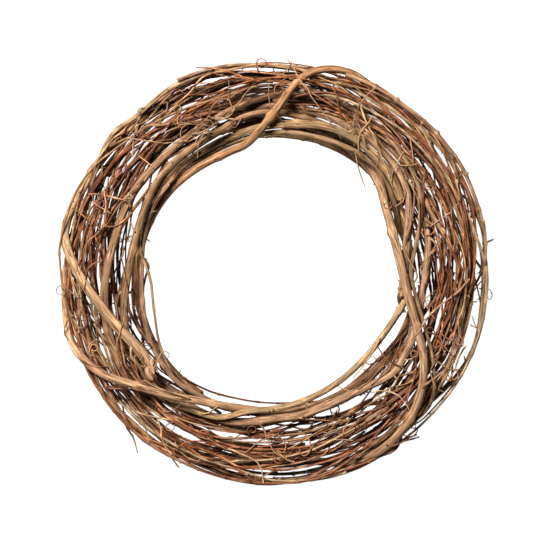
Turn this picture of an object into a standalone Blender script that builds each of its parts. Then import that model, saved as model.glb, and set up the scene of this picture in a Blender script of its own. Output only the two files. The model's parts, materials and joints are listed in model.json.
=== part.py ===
"""A grapevine wreath, lying flat on its back with its face up.

Long woody canes are wound into a ring, thin side vines lie in among them, and four canes cross over
the face and hold the bundle together. Shoots and curled tendrils grow out of the vines. Metres, +Z up.
Z is the ring's axis, z = 0 is the surface that the wreath lies on, and +Y is its top as it hangs.

Every vine is a tube that goes round the axis. It is cut into rings by planes through the axis, called
stations here, so at a station a vine is only a distance out from the axis and a height.
"""

import math

import bmesh
import bpy
import numpy as np
from mathutils import Vector

MM = 0.001

# The wreath's own sizes
WREATH_ACROSS = 457 * MM
RING_OUTSIDE = WREATH_ACROSS / 2
RING_INSIDE = 137 * MM
BUNDLE_DEPTH = 60 * MM
MIDDLE_OUT = (RING_OUTSIDE + RING_INSIDE) / 2
HALF_WIDTH = (RING_OUTSIDE - RING_INSIDE) / 2 - 4 * MM

# How finely the vines are cut, and how near they may come to each other
STATIONS = 36
STEP = 2 * math.pi / STATIONS
CLEARANCE = 0.4 * MM

# Laying the bundle: rounds of pushing vines apart, and how firmly each keeps its route and its bend
LAYING_ROUNDS = 600
SETTLING_ROUNDS = 600
EASING_ROUNDS = 300
ROUTE_HOLD = 0.03
BEND_HOLD = 0.25
SETTLED = 0.02 * MM

# Bark: colour (linear) and roughness
BARKS = {
    "tan": ((0.36, 0.20, 0.10), 0.75),
    "pale": ((0.43, 0.29, 0.17), 0.75),
    "red": ((0.27, 0.12, 0.06), 0.6),
}

# Canes that the eye picks out, each as
# name: (bark, thickness at its first and last end in mm, its route)
# A route is (degrees round from +X, mm out from the axis, mm above the surface) at each bend.
CANES = {
    "wrap_cane_top": ("tan", (7.0, 9.0), (
        (20, 212, 22), (45, 218, 26), (60, 223, 32), (67, 226, 40), (72, 226, 48), (77, 220, 55),
        (81, 207, 58), (84, 195, 59), (88, 174, 59), (92, 156, 57), (97, 144, 52), (105, 137, 46),
        (118, 136, 40), (140, 141, 32), (154, 144, 27), (176, 148, 16), (192, 150, 5), (205, 152, 1), (235, 157, 1))),
    "wrap_cane_left": ("pale", (7.5, 9.8), (
        (90, 211, 1), (108, 214, 1), (124, 217, 6), (140, 220, 17), (155, 223, 26), (163, 225, 33),
        (170, 225, 41), (174, 219, 48), (179, 208, 55), (186, 193, 59), (195, 181, 60),
        (203, 169, 60), (212, 163, 59), (219, 164, 57))),
    "wrap_cane_lower": ("tan", (7.0, 8.6), (
        (140, 212, 1), (162, 219, 6), (180, 222, 18), (190, 225, 28), (198, 226, 42),
        (203, 222, 51), (208, 214, 58), (213, 203, 61), (218, 190, 61), (225, 178, 60),
        (233, 165, 58), (240, 157, 55), (248, 152, 49), (259, 149, 40), (269, 150, 33),
        (281, 151, 26), (300, 152, 16), (320, 156, 1), (350, 160, 1))),
    "wrap_cane_right": ("tan", (7.5, 9.8), (
        (-104, 203, 1), (-88, 207, 9), (-76, 211, 20), (-71, 217, 27), (-66, 222, 35),
        (-62, 223, 43), (-57, 222, 50), (-52, 218, 55), (-46, 211, 59), (-40, 203, 61),
        (-34, 193, 62), (-27, 176, 62), (-20, 160, 61), (-10, 145, 58), (-1, 138, 54),
        (9, 135, 49), (20, 136, 43), (31, 142, 37), (40, 152, 30), (56, 159, 12), (68, 162, 1), (95, 166, 1))),
    "pale_cane_inner": ("pale", (6.2, 7.4), (
        (205, 196, 22), (216, 190, 30), (227, 184, 38), (239, 173, 42), (248, 167, 45),
        (254, 161, 48), (260, 150, 50), (269, 146, 48), (280, 142, 45), (293, 138, 43),
        (316, 134, 42), (338, 138, 40), (347, 144, 36), (356, 148, 28), (375, 151, 20),
        (400, 154, 6), (425, 158, 1))),
    "knotty_cane_right": ("tan", (8.8, 7.4), (
        (-12, 142, 36), (-5, 142, 38), (4, 143, 41), (10, 146, 43), (17, 152, 45), (24, 159, 47),
        (30, 166, 47), (36, 170, 46), (42, 173, 45), (57, 176, 42), (75, 178, 36), (95, 180, 30),
        (120, 184, 20), (150, 188, 10))),
    "long_cane_right": ("tan", (9.4, 7.2), (
        (-150, 176, 18), (-130, 174, 26), (-115, 171, 35), (-103, 166, 41), (-91, 158, 43),
        (-81, 157, 44), (-70, 154, 46), (-59, 154, 48), (-48, 160, 48), (-41, 167, 46),
        (-34, 167, 43), (-26, 166, 41), (-13, 162, 40), (-5, 161, 42), (8, 167, 46),
        (18, 170, 46), (28, 178, 40), (45, 186, 32), (70, 192, 26))),
    "thick_cane_top_left": ("tan", (7.0, 8.8), (
        (56, 165, 28), (68, 167, 33), (80, 169, 37), (92, 171, 42), (100, 168, 46),
        (107, 162, 49), (120, 157, 51), (140, 157, 50), (158, 152, 48), (167, 151, 48),
        (179, 154, 46), (189, 160, 44), (198, 167, 40), (207, 174, 35), (216, 178, 30),
        (231, 178, 22), (251, 175, 12))),
    "thick_cane_left": ("tan", (7.0, 9.2), (
        (80, 192, 30), (91, 188, 36), (101, 181, 42), (111, 174, 46), (121, 170, 49),
        (138, 168, 50), (148, 170, 50), (171, 172, 49), (181, 176, 48), (200, 184, 40),
        (212, 188, 34), (226, 191, 26), (240, 193, 9), (252, 194, 1), (280, 197, 1))),
    "broken_cane_top_right": ("pale", (8.6, 6.6), (
        (30, 157, 48), (41, 163, 50), (50, 165, 51), (65, 167, 51), (78, 161, 50), (91, 156, 46),
        (105, 152, 38), (125, 150, 26), (140, 151, 12), (152, 152, 1), (180, 158, 1))),
    "inner_cane_top": ("pale", (6.2, 5.0), (
        (20, 150, 16), (38, 154, 28), (46, 156, 36), (53, 155, 40), (77, 150, 43), (91, 149, 41),
        (105, 147, 34), (122, 147, 24), (145, 150, 14))),
    "inner_cane_left": ("tan", (4.8, 5.6), (
        (140, 146, 44), (152, 146, 41), (165, 143, 38), (179, 141, 38), (194, 144, 38),
        (212, 152, 40), (230, 156, 43), (238, 154, 40), (250, 154, 32), (270, 156, 22),
        (295, 160, 10))),
    "diagonal_cane_right": ("tan", (4.4, 5.8), (
        (-62, 215, 40), (-45, 216, 42), (-30, 214, 45), (-25, 212, 46), (-19, 206, 48),
        (-11, 202, 49), (0, 199, 51), (8, 191, 52), (14, 185, 53), (19, 180, 53), (27, 178, 52),
        (40, 186, 48), (60, 194, 42), (85, 200, 34))),
    "forked_cane_right": ("pale", (3.4, 4.4), (
        (-48, 217, 50), (-38, 216, 51), (-32, 201, 53), (-27, 188, 54), (-22, 176, 54),
        (-14, 160, 52), (-7, 151, 50), (-1, 147, 49), (5, 149, 50), (16, 161, 53), (28, 177, 55),
        (40, 184, 52), (55, 190, 46))),
    "outer_cane_right": ("pale", (4.2, 5.0), (
        (-78, 216, 22), (-60, 217, 26), (-42, 219, 29), (-34, 224, 30), (-26, 229, 30),
        (-18, 231, 30), (-5, 227, 30), (4, 229, 30), (11, 231, 30), (20, 227, 30), (37, 226, 32),
        (45, 221, 33), (52, 219, 34), (68, 219, 28), (85, 216, 22), (105, 214, 16))),
    "outer_cane_top_left": ("pale", (5.0, 4.2), (
        (72, 216, 30), (85, 221, 32), (94, 223, 33), (103, 227, 34), (119, 227, 35),
        (130, 223, 36), (136, 228, 35), (142, 228, 33), (148, 224, 30), (158, 218, 26),
        (175, 216, 20), (195, 218, 14), (215, 220, 8))),
    "outer_cane_bottom": ("tan", (4.6, 4.0), (
        (196, 222, 34), (212, 224, 38), (222, 222, 38), (250, 221, 33), (262, 223, 30),
        (272, 225, 28), (284, 222, 28), (296, 219, 30), (310, 216, 32), (330, 212, 32))),
    "loop_twig_left": ("pale", (3.2, 2.4), (
        (150, 160, 30), (160, 152, 36), (169, 145, 40), (179, 134, 42), (187, 131, 42),
        (195, 133, 42), (205, 137, 42), (211, 143, 40), (220, 150, 34), (232, 160, 28))),
    "loose_end_lower_left": ("tan", (3.4, 2.2), (
        (150, 200, 30), (175, 208, 34), (195, 214, 36), (212, 219, 38), (219, 222, 36),
        (226, 228, 32), (230, 234, 29), (234, 241, 26))),
}

# Side vines: how many, how thick, and what share of the way round each goes
SIDE_VINES = 36
SIDE_VINE_SEED = 41
SIDE_VINE_THICKNESS = (2.3 * MM, 3.9 * MM)
SIDE_VINE_TURNS = (0.5, 0.94)
SIDE_VINE_TAPER = 0.6
SIDE_VINE_BARKS = ("red", "red", "red", "tan", "red", "pale")
STRAY_END = 6 * MM

# Places where the bundle is open and the background shows through, which side vines lie clear of, as
# (degrees round from +X, degrees to each side, mm out from the axis, mm to each side)
OPEN_PLACES = (
    (3, 12, 224, 4), (30, 14, 221, 5), (49, 9, 215, 5), (92, 10, 190, 4), (108, 12, 207, 5),
    (130, 22, 216, 7), (148, 8, 205, 4), (184, 10, 213, 5), (226, 12, 221, 5), (252, 12, 208, 4),
    (274, 16, 217, 6), (18, 8, 143, 6), (196, 14, 140, 6), (276, 10, 150, 4), (308, 16, 180, 5),
    (311, 16, 144, 6), (327, 12, 182, 5), (345, 12, 172, 5), (348, 20, 222, 7),
)
OPEN_PUSH = 0.25
GOLDEN = (math.sqrt(5) - 1) / 2

# A cane bears at most one shoot or tendril, and a side vine two. They stay out of the hole, and hardly
# stand out of the ring or up from its face
MOST_ON_A_CANE = 1
MOST_ON_A_SIDE_VINE = 2
HOLE_KEPT_CLEAR = 131 * MM
FARTHEST_OUT = RING_OUTSIDE + 4 * MM
HIGHEST = BUNDLE_DEPTH + 12 * MM

# Shoots: thin twigs that leave a vine and lie over its neighbours
SHOOTS = 62
SHOOT_SEED = 7
SHOOT_LENGTH = (45 * MM, 95 * MM)
SHOOT_THICKNESS = (1.7 * MM, 2.6 * MM)
SHOOT_SEGMENT = 12 * MM
SHOOT_TRIES = 14
PUSH_ROUNDS = 12

# Tendrils: where each curls, as (degrees round from +X, mm out from the axis), and their size
TENDRILS = (
    (122, 172), (195, 213), (203, 212), (209, 151), (56, 179), (30, 146), (-44, 148), (-24, 193),
    (-9, 183), (-14, 197), (88, 205), (156, 196), (252, 205), (282, 184), (330, 222), (232, 190),
    (268, 181), (276, 188), (261, 187), (291, 181), (115, 178), (42, 186), (345, 190), (218, 200),
)
TENDRIL_SEED = 11
TENDRIL_THICKNESS = 1.4 * MM
TENDRIL_CURL = (5.5 * MM, 7.5 * MM)
TENDRIL_TRIES = 60
CURL_SEGMENT = math.radians(40)


def smooth_through(knots, values, at):
    """A curve through values at knots: cubic pieces, each knot's slope being that of its neighbours."""
    slopes = np.gradient(values, knots, axis=0)
    piece = np.clip(np.searchsorted(knots, at, side="right") - 1, 0, len(knots) - 2)
    width = (knots[piece + 1] - knots[piece])[:, None]
    t = (at - knots[piece])[:, None] / width
    return (
        (2 * t**3 - 3 * t**2 + 1) * values[piece]
        + (t**3 - 2 * t**2 + t) * width * slopes[piece]
        + (3 * t**2 - 2 * t**3) * values[piece + 1]
        + (t**3 - t**2) * width * slopes[piece + 1]
    )


def in_space(angle, route):
    """Points in space from angles round the axis and a route of (out, up)."""
    return np.stack([route[:, 0] * np.cos(angle), route[:, 0] * np.sin(angle), route[:, 1]], axis=1)


class Vine:
    """A vine: the station it starts at, its route (out, up) and its radius at each station from there."""

    def __init__(self, name, bark, first, route, radius):
        self.name, self.bark, self.first = name, bark, first
        self.route, self.radius = route, radius
        thickest = radius.max()
        self.sides = 6 if thickest > 3 * MM else 5 if thickest > 2.1 * MM else 4

    def angles(self):
        return (self.first + np.arange(len(self.route))) * STEP

    def centres(self):
        return in_space(self.angles(), self.route)


def cane(name):
    """One of the canes above, its route smoothed through its bends."""
    bark, thickness, bends = CANES[name]
    bends = np.array(bends, float)
    knots = np.radians(bends[:, 0]) / STEP
    first, last = round(knots[0]), round(knots[-1])
    at = np.clip(np.arange(first, last + 1), knots[0], knots[-1])
    route = smooth_through(knots, bends[:, 1:] * MM, at)
    radius = np.linspace(thickness[0], thickness[1], len(at)) * MM / 2
    return Vine(name, bark, first, route, radius)


def side_vine(number, rng):
    """A thin vine that wanders in and out and up and down within the bundle, mostly in its outer part."""
    count = int(rng.uniform(*SIDE_VINE_TURNS) * STATIONS) + 1
    first = int(number * GOLDEN * STATIONS) % STATIONS
    along = np.arange(count) * STEP
    wander = [
        rng.uniform(0.12, 0.30) * np.sin(rng.uniform(1.0, 3.0) * along + rng.uniform(0, 2 * math.pi))
        for _ in range(4)
    ]
    # A point of the bundle's round section: across it from -1 to 1, and up it from -1 to 1
    outer_part = -0.45 + 1.35 * ((number + 0.5) / SIDE_VINES) ** 0.8
    height_part = 2 * ((number * GOLDEN + 0.3) % 1) - 1
    across = np.clip(outer_part + wander[0] + wander[1], -0.95, 0.98)
    up = np.clip(height_part + wander[2] + wander[3], -1, 0.85) * np.sqrt(1 - 0.75 * across**2)
    # Towards the hole the side vines lie under the canes
    up = np.minimum(up, 0.5 + 1.5 * across)
    if number % 4 == 1:
        across[-1] += STRAY_END / HALF_WIDTH
    route = np.stack([MIDDLE_OUT + HALF_WIDTH * across, BUNDLE_DEPTH / 2 * (1 + up)], axis=1)
    radius = rng.uniform(*SIDE_VINE_THICKNESS) / 2 * np.linspace(1, SIDE_VINE_TAPER, count)
    if number % 2:
        radius = radius[::-1].copy()
    bark = SIDE_VINE_BARKS[number % len(SIDE_VINE_BARKS)]
    return Vine(f"side_vine_{number + 1:02d}", bark, first, route, radius)


def pushes(points, radius, weight, heads):
    """The moves that part every two vines that come too near between one station and the next.

    heads holds, for each gap between stations, the points whose vine crosses it to the next point. Two
    vines are straight there, so their nearest approach is where the line of their difference passes
    nearest to nought. A slanting vine is wider in a station's plane, which its slope allows for.
    """
    move = np.zeros_like(points)
    count = np.zeros(len(points))
    deepest = 0.0
    for head in heads:
        i, j = np.triu_indices(len(head), 1)
        a, c = head[i], head[j]
        b, d = a + 1, c + 1
        start = points[a] - points[c]
        change = points[b] - points[d] - start
        t = -(start * change).sum(1) / np.maximum((change**2).sum(1), 1e-12)
        t = np.clip(t, 0, 1)
        apart = start + t[:, None] * change
        gap = np.maximum(np.hypot(*apart.T), 1e-9)
        way = apart / gap[:, None]
        run = STEP * (points[a, 0] + points[c, 0]) / 2
        slope = ((points[b] - points[a] + points[d] - points[c]) / 2 * way).sum(1) / run
        need = np.maximum(radius[a], radius[b]) + np.maximum(radius[c], radius[d]) + CLEARANCE
        short = need * np.sqrt(1 + slope**2) - gap
        near = short > 0
        if not near.any():
            continue
        a, b, c, d, t, short, way = (array[near] for array in (a, b, c, d, t, short, way))
        deepest = max(deepest, short.max())
        share = short / ((1 - t) ** 2 + t**2) / (weight[a] + weight[c])
        for point, part, sign in ((a, 1 - t, 1), (b, t, 1), (c, 1 - t, -1), (d, t, -1)):
            np.add.at(move, point, (sign * share * part * weight[point])[:, None] * way)
            np.add.at(count, point, part > 0.05)
    return move / np.maximum(count, 1)[:, None] ** 0.7, deepest


def out_of_open_places(points, radius, station, side_vines):
    """The moves that draw side vines out of the open places, each to the nearer side of its place."""
    move = np.zeros_like(points)
    degrees = station * 360 / STATIONS
    for middle, reach, out, half in OPEN_PLACES:
        away = np.abs((degrees - middle + 180) % 360 - 180)
        aside = points[:, 0] - out * MM
        short = half * MM + radius - np.abs(aside)
        inside = side_vines & (away < reach) & (short > 0)
        move[inside, 0] += OPEN_PUSH * (np.where(aside > 0, 1, -1) * short)[inside]
    return move


def lay(vines):
    """Moves the vines off each other and off the surface below, while each keeps near its route."""
    lengths = [len(vine.route) for vine in vines]
    starts = np.concatenate([[0], np.cumsum(lengths)])
    route = np.concatenate([vine.route for vine in vines])
    radius = np.concatenate([vine.radius for vine in vines])
    flat_side = np.concatenate([vine.radius * math.cos(math.pi / vine.sides) for vine in vines])
    weight = 1 / (1 + (radius / (1.5 * MM)) ** 2)
    station = np.concatenate([(v.first + np.arange(len(v.route))) % STATIONS for v in vines])
    side_vines = np.repeat([vine.name not in CANES for vine in vines], lengths)
    last = np.zeros(len(route), bool)
    last[starts[1:] - 1] = True
    heads = [np.flatnonzero((station == number) & ~last) for number in range(STATIONS)]
    inner = ~last
    inner[starts[:-1]] = False
    inner = np.flatnonzero(inner)
    points = route.copy()
    for turn in range(LAYING_ROUNDS + SETTLING_ROUNDS):
        loose = np.clip(1 - (turn - LAYING_ROUNDS) / EASING_ROUNDS, 0, 1)
        shift = points - route
        pull = -ROUTE_HOLD * loose * shift
        bend = (shift[inner - 1] + shift[inner + 1]) / 2 - shift[inner]
        pull[inner] += BEND_HOLD * loose * bend
        pull += loose * out_of_open_places(points, radius, station, side_vines)
        move, deepest = pushes(points + pull, radius, weight, heads)
        points = points + pull + move
        points[:, 1] = np.maximum(points[:, 1], flat_side)
        if loose == 0 and deepest < SETTLED:
            break
    for vine, start, end in zip(vines, starts[:-1], starts[1:]):
        vine.route = points[start:end]


def section_rings(vine):
    """The corners of the vine's section at each station, in that station's plane, with a flat side
    underneath. Along a slope a section is stretched, so that the vine keeps its thickness."""
    angle = vine.angles()
    slope = np.gradient(vine.route, axis=0) / (vine.route[:, :1] * STEP)
    steep = np.hypot(*slope.T)
    downhill = slope / np.maximum(steep, 1e-9)[:, None]
    turn = 2 * math.pi * (np.arange(vine.sides) + 0.5) / vine.sides - math.pi / 2
    corner = np.stack([np.cos(turn), np.sin(turn)], axis=1)
    stretch = (downhill @ corner.T) * (np.sqrt(1 + steep**2) - 1)[:, None]
    flat = corner[None] + stretch[:, :, None] * downhill[:, None]
    flat = vine.route[:, None] + flat * vine.radius[:, None, None]
    out, up = flat[:, :, 0], flat[:, :, 1]
    return np.stack([out * np.cos(angle)[:, None], out * np.sin(angle)[:, None], up], axis=2)


class Bundle:
    """Every straight stretch laid so far: its two ends, its radius and the vine it belongs to."""

    def __init__(self, vines):
        self.start, self.end, self.radius, self.owner = [], [], [], []
        for number, vine in enumerate(vines):
            self.add(vine.centres(), np.maximum(vine.radius[1:], vine.radius[:-1]), number)

    def add(self, path, radius, owner):
        self.start.extend(path[:-1])
        self.end.extend(path[1:])
        self.radius.extend(radius)
        self.owner.extend([owner] * (len(path) - 1))
        self.arrays = [np.array(part) for part in (self.start, self.end, self.radius, self.owner)]

    def near(self, path, reach):
        """The stretches that come within reach of a path."""
        start, end, radius, owner = self.arrays
        low, high = path.min(0) - reach, path.max(0) + reach
        inside = (np.minimum(start, end) < high).all(1) & (np.maximum(start, end) > low).all(1)
        return start[inside], end[inside], radius[inside], owner[inside]


def nearest_points(p0, p1, q0, q1):
    """For every stretch p and every stretch q: how far along each their nearest points lie, 0 to 1."""
    p, q = (p1 - p0)[:, None], (q1 - q0)[None]
    between = p0[:, None] - q0[None]
    pp, qq, pq = (p * p).sum(2), (q * q).sum(2), (p * q).sum(2)
    pb, qb = (p * between).sum(2), (q * between).sum(2)
    s = np.clip((pq * qb - pb * qq) / np.maximum(pp * qq - pq**2, 1e-18), 0, 1)
    t = np.clip((pq * s + qb) / np.maximum(qq, 1e-18), 0, 1)
    s = np.clip((pq * t - pb) / np.maximum(pp, 1e-18), 0, 1)
    return s, t


def clearances(path, radius, stretches):
    """The gap between each stretch of a path and each of the given stretches."""
    start, end, thick, _ = stretches
    s, t = nearest_points(path[:-1], path[1:], start, end)
    p = path[:-1, None] + s[:, :, None] * (path[1:] - path[:-1])[:, None]
    q = start[None] + t[:, :, None] * (end - start)[None]
    return np.linalg.norm(p - q, axis=2) - radius[:-1, None] - thick[None]


def lift_clear(path, radius, stretches):
    """Bends a path's points off the stretches that they come too near. Its first two points stay."""
    start, end, thick, _ = stretches
    path = path.copy()
    for _ in range(PUSH_ROUNDS):
        s = ((path[:, None] - start) * (end - start)).sum(2) / ((end - start) ** 2).sum(1)
        foot = start + np.clip(s, 0, 1)[:, :, None] * (end - start)
        away = path[:, None] - foot
        gap = np.linalg.norm(away, axis=2)
        short = np.maximum(radius[:, None] + thick + 2 * CLEARANCE - gap, 0)
        move = (away / np.maximum(gap, 1e-9)[:, :, None] * short[:, :, None]).sum(1)
        move[2:-1] += 0.15 * ((path[1:-2] + path[3:]) / 2 - path[2:-1])
        path[2:] += 0.6 * move[2:]
    return path


def meets_itself(path, reach):
    """Whether two stretches of a path, three or more apart, come nearer than reach."""
    for apart in range(3, len(path) - 1):
        first, second = path[:-apart], path[apart:]
        s, t = nearest_points(first[:-1], first[1:], second[:-1], second[1:])
        s, t = s.diagonal()[:, None], t.diagonal()[:, None]
        p = first[:-1] + s * (first[1:] - first[:-1])
        q = second[:-1] + t * (second[1:] - second[:-1])
        if (np.linalg.norm(p - q, axis=1) < reach).any():
            return True
    return False


def lift_if_clear(path, radius, bundle, owner):
    """How far on average a path lies off the bundle, or None where it comes too near anything: another
    vine, its own vine past its root, itself or the surface below."""
    stretches = bundle.near(path, 12 * MM)
    gaps = clearances(path, radius, stretches)
    own = stretches[3] == owner
    if gaps[:, ~own].min(initial=1) < CLEARANCE or gaps[1:, own].min(initial=1) < CLEARANCE:
        return None
    if path[:, 2].min() < radius.max() + CLEARANCE or meets_itself(path, 2 * radius.max() + CLEARANCE):
        return None
    out = np.hypot(path[:, 0], path[:, 1])
    if out.min() < HOLE_KEPT_CLEAR or out.max() > FARTHEST_OUT or path[:, 2].max() > HIGHEST:
        return None
    return gaps[2:].min(axis=1, initial=20 * MM).mean()


class Root:
    """Where something grows out of a vine: a spot between two stations, on one of the vine's sides."""

    def __init__(self, vines, rings, crossing, way, size):
        self.number, self.interval, share, _ = crossing
        vine, ring = vines[self.number], rings[self.number]
        turn = 2 * math.pi * (np.arange(vine.sides) + 1) / vine.sides - math.pi / 2
        self.side = int(np.argmax(np.stack([np.cos(turn), np.sin(turn)], axis=1) @ way))
        share = min(max(share, 0.2), 0.8)
        near, far = ring[self.interval], ring[self.interval + 1]
        i, j = self.side, (self.side + 1) % vine.sides
        start, end = (near[i] + near[j]) / 2, (far[i] + far[j]) / 2
        length = np.linalg.norm(end - start)
        self.middle = start + share * (end - start)
        self.along = (end - start) / length
        out = np.cross(self.along, near[j] - near[i])
        self.out = out / np.linalg.norm(out)
        self.place, self.half = self.interval + share, size / length


def crossings(vines, station):
    """The vines that cross a station, as (number, interval, share of it past, (out, up))."""
    for number, vine in enumerate(vines):
        past = (station - vine.first) % STATIONS
        if 1 <= past <= len(vine.route) - 2:
            interval = int(past)
            share = past - interval
            route = vine.route[interval] * (1 - share) + vine.route[interval + 1] * share
            yield number, interval, share, route


def shoot_root(vines, rings, station, facing, lean, size):
    """A root on the vine that lies farthest out in the wanted direction of the bundle's section."""
    way = np.array([math.cos(facing), math.sin(facing)])
    aside = np.array([-way[1], way[0]])

    def how_far_out(crossing):
        place = crossing[3] - (MIDDLE_OUT, BUNDLE_DEPTH / 2)
        return place @ way - 1.2 * abs(place @ aside - lean * HALF_WIDTH * abs(way[1]))

    crossing = max(crossings(vines, station), key=how_far_out)
    return Root(vines, rings, crossing, way, size)


def tendril_root(vines, rings, station, out, lean, size):
    """A root on a vine that lies on top near a place."""
    crossing = max(crossings(vines, station), key=lambda c: c[3][1] - 1.5 * abs(c[3][0] - out))
    return Root(vines, rings, crossing, np.array([math.sin(lean), math.cos(lean)]), size)


def shoot_path(root, rng, length):
    """A twig's path: out of the root at a slant, then on beside the vine, drifting off to one side."""
    segments = max(4, round(length / SHOOT_SEGMENT))
    run = np.linspace(0, length, segments + 1)
    drift = rng.uniform(0.15, 0.85) * rng.choice([-1, 1])
    heading = rng.choice([-1, 1])
    angle = math.atan2(root.middle[1], root.middle[0])
    outward = np.array([math.cos(angle), math.sin(angle), 0])
    onward = heading * np.array([-math.sin(angle), math.cos(angle), 0])
    lift = np.array([root.out @ outward, root.out[2]])
    sideways = np.array([-lift[1], lift[0]])
    rise = rng.uniform(3, 6) * MM * (1 - np.exp(-run / (6 * MM)))
    sag = rng.uniform(-0.02, 0.3) * run**2 / length
    aside = math.sin(drift) * (run - rng.uniform(0.1, 0.6) * run**2 / (2 * length))
    start = np.array([root.middle @ outward, root.middle[2]])
    section = start + (rise - sag)[:, None] * lift + aside[:, None] * sideways
    path = in_space(angle + heading * math.cos(drift) * run / section[:, 0], section)
    path[0] = root.middle
    path[1] = root.middle + 6 * MM * (0.75 * onward + 0.65 * root.out)
    return path


def tendril_path(root, rng):
    """A tendril's path: a short stem out of the root, then a curl that tightens."""
    swing = rng.uniform(0, 2 * math.pi)
    level = math.cos(swing) * root.along + math.sin(swing) * np.cross(root.out, root.along)
    heading = level * rng.uniform(0.6, 1.2) + root.out
    heading /= np.linalg.norm(heading)
    stem = rng.uniform(7, 20) * MM
    share = np.linspace(0, 1, 4)[:, None]
    path = root.middle + stem * (heading * share + (0.4 * level - 0.25 * root.out) * share**2)
    tangent = path[-1] - path[-2]
    tangent /= np.linalg.norm(tangent)
    tilt = root.out + rng.uniform(-0.6, 0.6) * level + rng.uniform(-0.4, 0.4) * root.along
    inward = np.cross(tilt, tangent) * rng.choice([-1, 1])
    inward /= np.linalg.norm(inward)
    rise = np.cross(tangent, inward)
    rise *= np.sign(rise @ root.out)
    turns = np.arange(CURL_SEGMENT, rng.uniform(1.0, 1.7) * 2 * math.pi, CURL_SEGMENT)[:, None]
    wide = rng.uniform(*TENDRIL_CURL) * (1 - 0.28 * turns / (2 * math.pi))
    curl = path[-1] + (wide[0] * inward - wide * np.cos(turns) * inward + wide * np.sin(turns) * tangent)
    return np.vstack([path, curl + 3.2 * MM * turns / (2 * math.pi) * rise])


def root_is_free(root, grown):
    """Whether the root's vine can bear one more, with room for it."""
    others = [other for other, _, _ in grown if other.number == root.number]
    most = MOST_ON_A_CANE if root.number < len(CANES) else MOST_ON_A_SIDE_VINE
    return len(others) < most and all(abs(other.interval - root.interval) > 1 for other in others)


def grow_shoots(vines, rings, bundle):
    """Shoots, spread evenly round the ring: half on the face, the others turned round the section."""
    rng = np.random.default_rng(SHOOT_SEED)
    grown = []
    for number in range(SHOOTS):
        facing = math.radians((90, 60, 90, 360 * GOLDEN * number)[number % 4])
        best = None
        for _ in range(SHOOT_TRIES):
            station = number * GOLDEN * STATIONS + rng.uniform(-1.5, 1.5)
            thickness = rng.uniform(*SHOOT_THICKNESS)
            root = shoot_root(vines, rings, station, facing, rng.uniform(-1, 1), 0.75 * thickness)
            path = shoot_path(root, rng, rng.uniform(*SHOOT_LENGTH))
            if not root_is_free(root, grown):
                continue
            radius = thickness / 2 * np.linspace(1.15, 0.6, len(path))
            path = lift_clear(path, radius, bundle.near(path, 15 * MM))
            lift = lift_if_clear(path, radius, bundle, root.number)
            if lift is not None and (best is None or lift < best[0]):
                best = (lift, root, path, radius)
        if best:
            grown.append(best[1:])
            bundle.add(best[2], best[3][:-1], best[1].number)
    return grown


def grow_tendrils(vines, rings, bundle, grown):
    """A tendril at each of its places, on a vine that lies on top there."""
    rng = np.random.default_rng(TENDRIL_SEED)
    for degrees, out in TENDRILS:
        angle = math.radians(degrees)
        place = out * MM * np.array([math.cos(angle), math.sin(angle)])
        best = None
        for _ in range(TENDRIL_TRIES):
            station = angle / STEP + rng.uniform(-0.8, 0.8)
            root_out = out * MM + rng.uniform(-14, 14) * MM
            root = tendril_root(vines, rings, station, root_out, rng.uniform(-0.8, 0.8), TENDRIL_THICKNESS)
            path = tendril_path(root, rng)
            if not root_is_free(root, grown):
                continue
            radius = TENDRIL_THICKNESS / 2 * np.linspace(1.2, 0.75, len(path))
            lift = lift_if_clear(path, radius, bundle, root.number)
            if lift is None:
                continue
            score = lift + 0.3 * np.linalg.norm(path[-6:, :2].mean(0) - place)
            if best is None or score < best[0]:
                best = (score, root, path, radius)
        if best:
            grown.append(best[1:])
            bundle.add(best[2], best[3][:-1], best[1].number)
    return grown


def grow(bm, face, path, radius):
    """Extrudes a four-sided face along a path, turning its corners no more than the path bends."""
    steps = np.diff(path, axis=0)
    steps /= np.linalg.norm(steps, axis=1)[:, None]
    headings = np.vstack([steps[1:] + steps[:-1], steps[-1:]])
    corners = np.array([vert.co for vert in face.verts])
    side = corners[:2].mean(0) - corners.mean(0)
    for middle, heading, thick in zip(path[1:], headings, radius[1:]):
        heading = heading / np.linalg.norm(heading)
        side = side - (side @ heading) * heading
        side /= np.linalg.norm(side)
        other = np.cross(heading, side)
        face = bmesh.ops.extrude_discrete_faces(bm, faces=[face])["faces"][0]
        for vert, (a, b) in zip(face.verts, ((1, -1), (1, 1), (-1, 1), (-1, -1))):
            vert.co = Vector(middle + thick * math.sqrt(0.5) * (a * side + b * other))


def vine_mesh(vine, rings, growths):
    """A closed tube through the vine's rings, with two close rings at each root to grow from."""
    stops = [(float(index), None) for index in range(len(rings))]
    for growth in growths:
        root = growth[0]
        stops += [(root.place - root.half, growth), (root.place + root.half, None)]
    stops.sort(key=lambda stop: stop[0])
    bm = bmesh.new()
    loops = []
    for place, _ in stops:
        interval = min(int(place), len(rings) - 2)
        share = place - interval
        ring = rings[interval] * (1 - share) + rings[interval + 1] * share
        loops.append([bm.verts.new(corner) for corner in ring])
    buds = []
    for (_, growth), near, far in zip(stops, loops, loops[1:]):
        for i in range(vine.sides):
            j = (i + 1) % vine.sides
            face = bm.faces.new((near[j], near[i], far[i], far[j]))
            if growth and growth[0].side == i:
                buds.append((face, growth))
    bm.faces.new(loops[0])
    bm.faces.new(loops[-1][::-1])
    for face, (_, path, radius) in buds:
        grow(bm, face, path, radius)
    mesh = bpy.data.meshes.new(vine.name)
    bm.to_mesh(mesh)
    bm.free()
    mesh.shade_smooth()
    mesh.set_sharp_from_angle(angle=math.radians(75))
    return mesh


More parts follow.
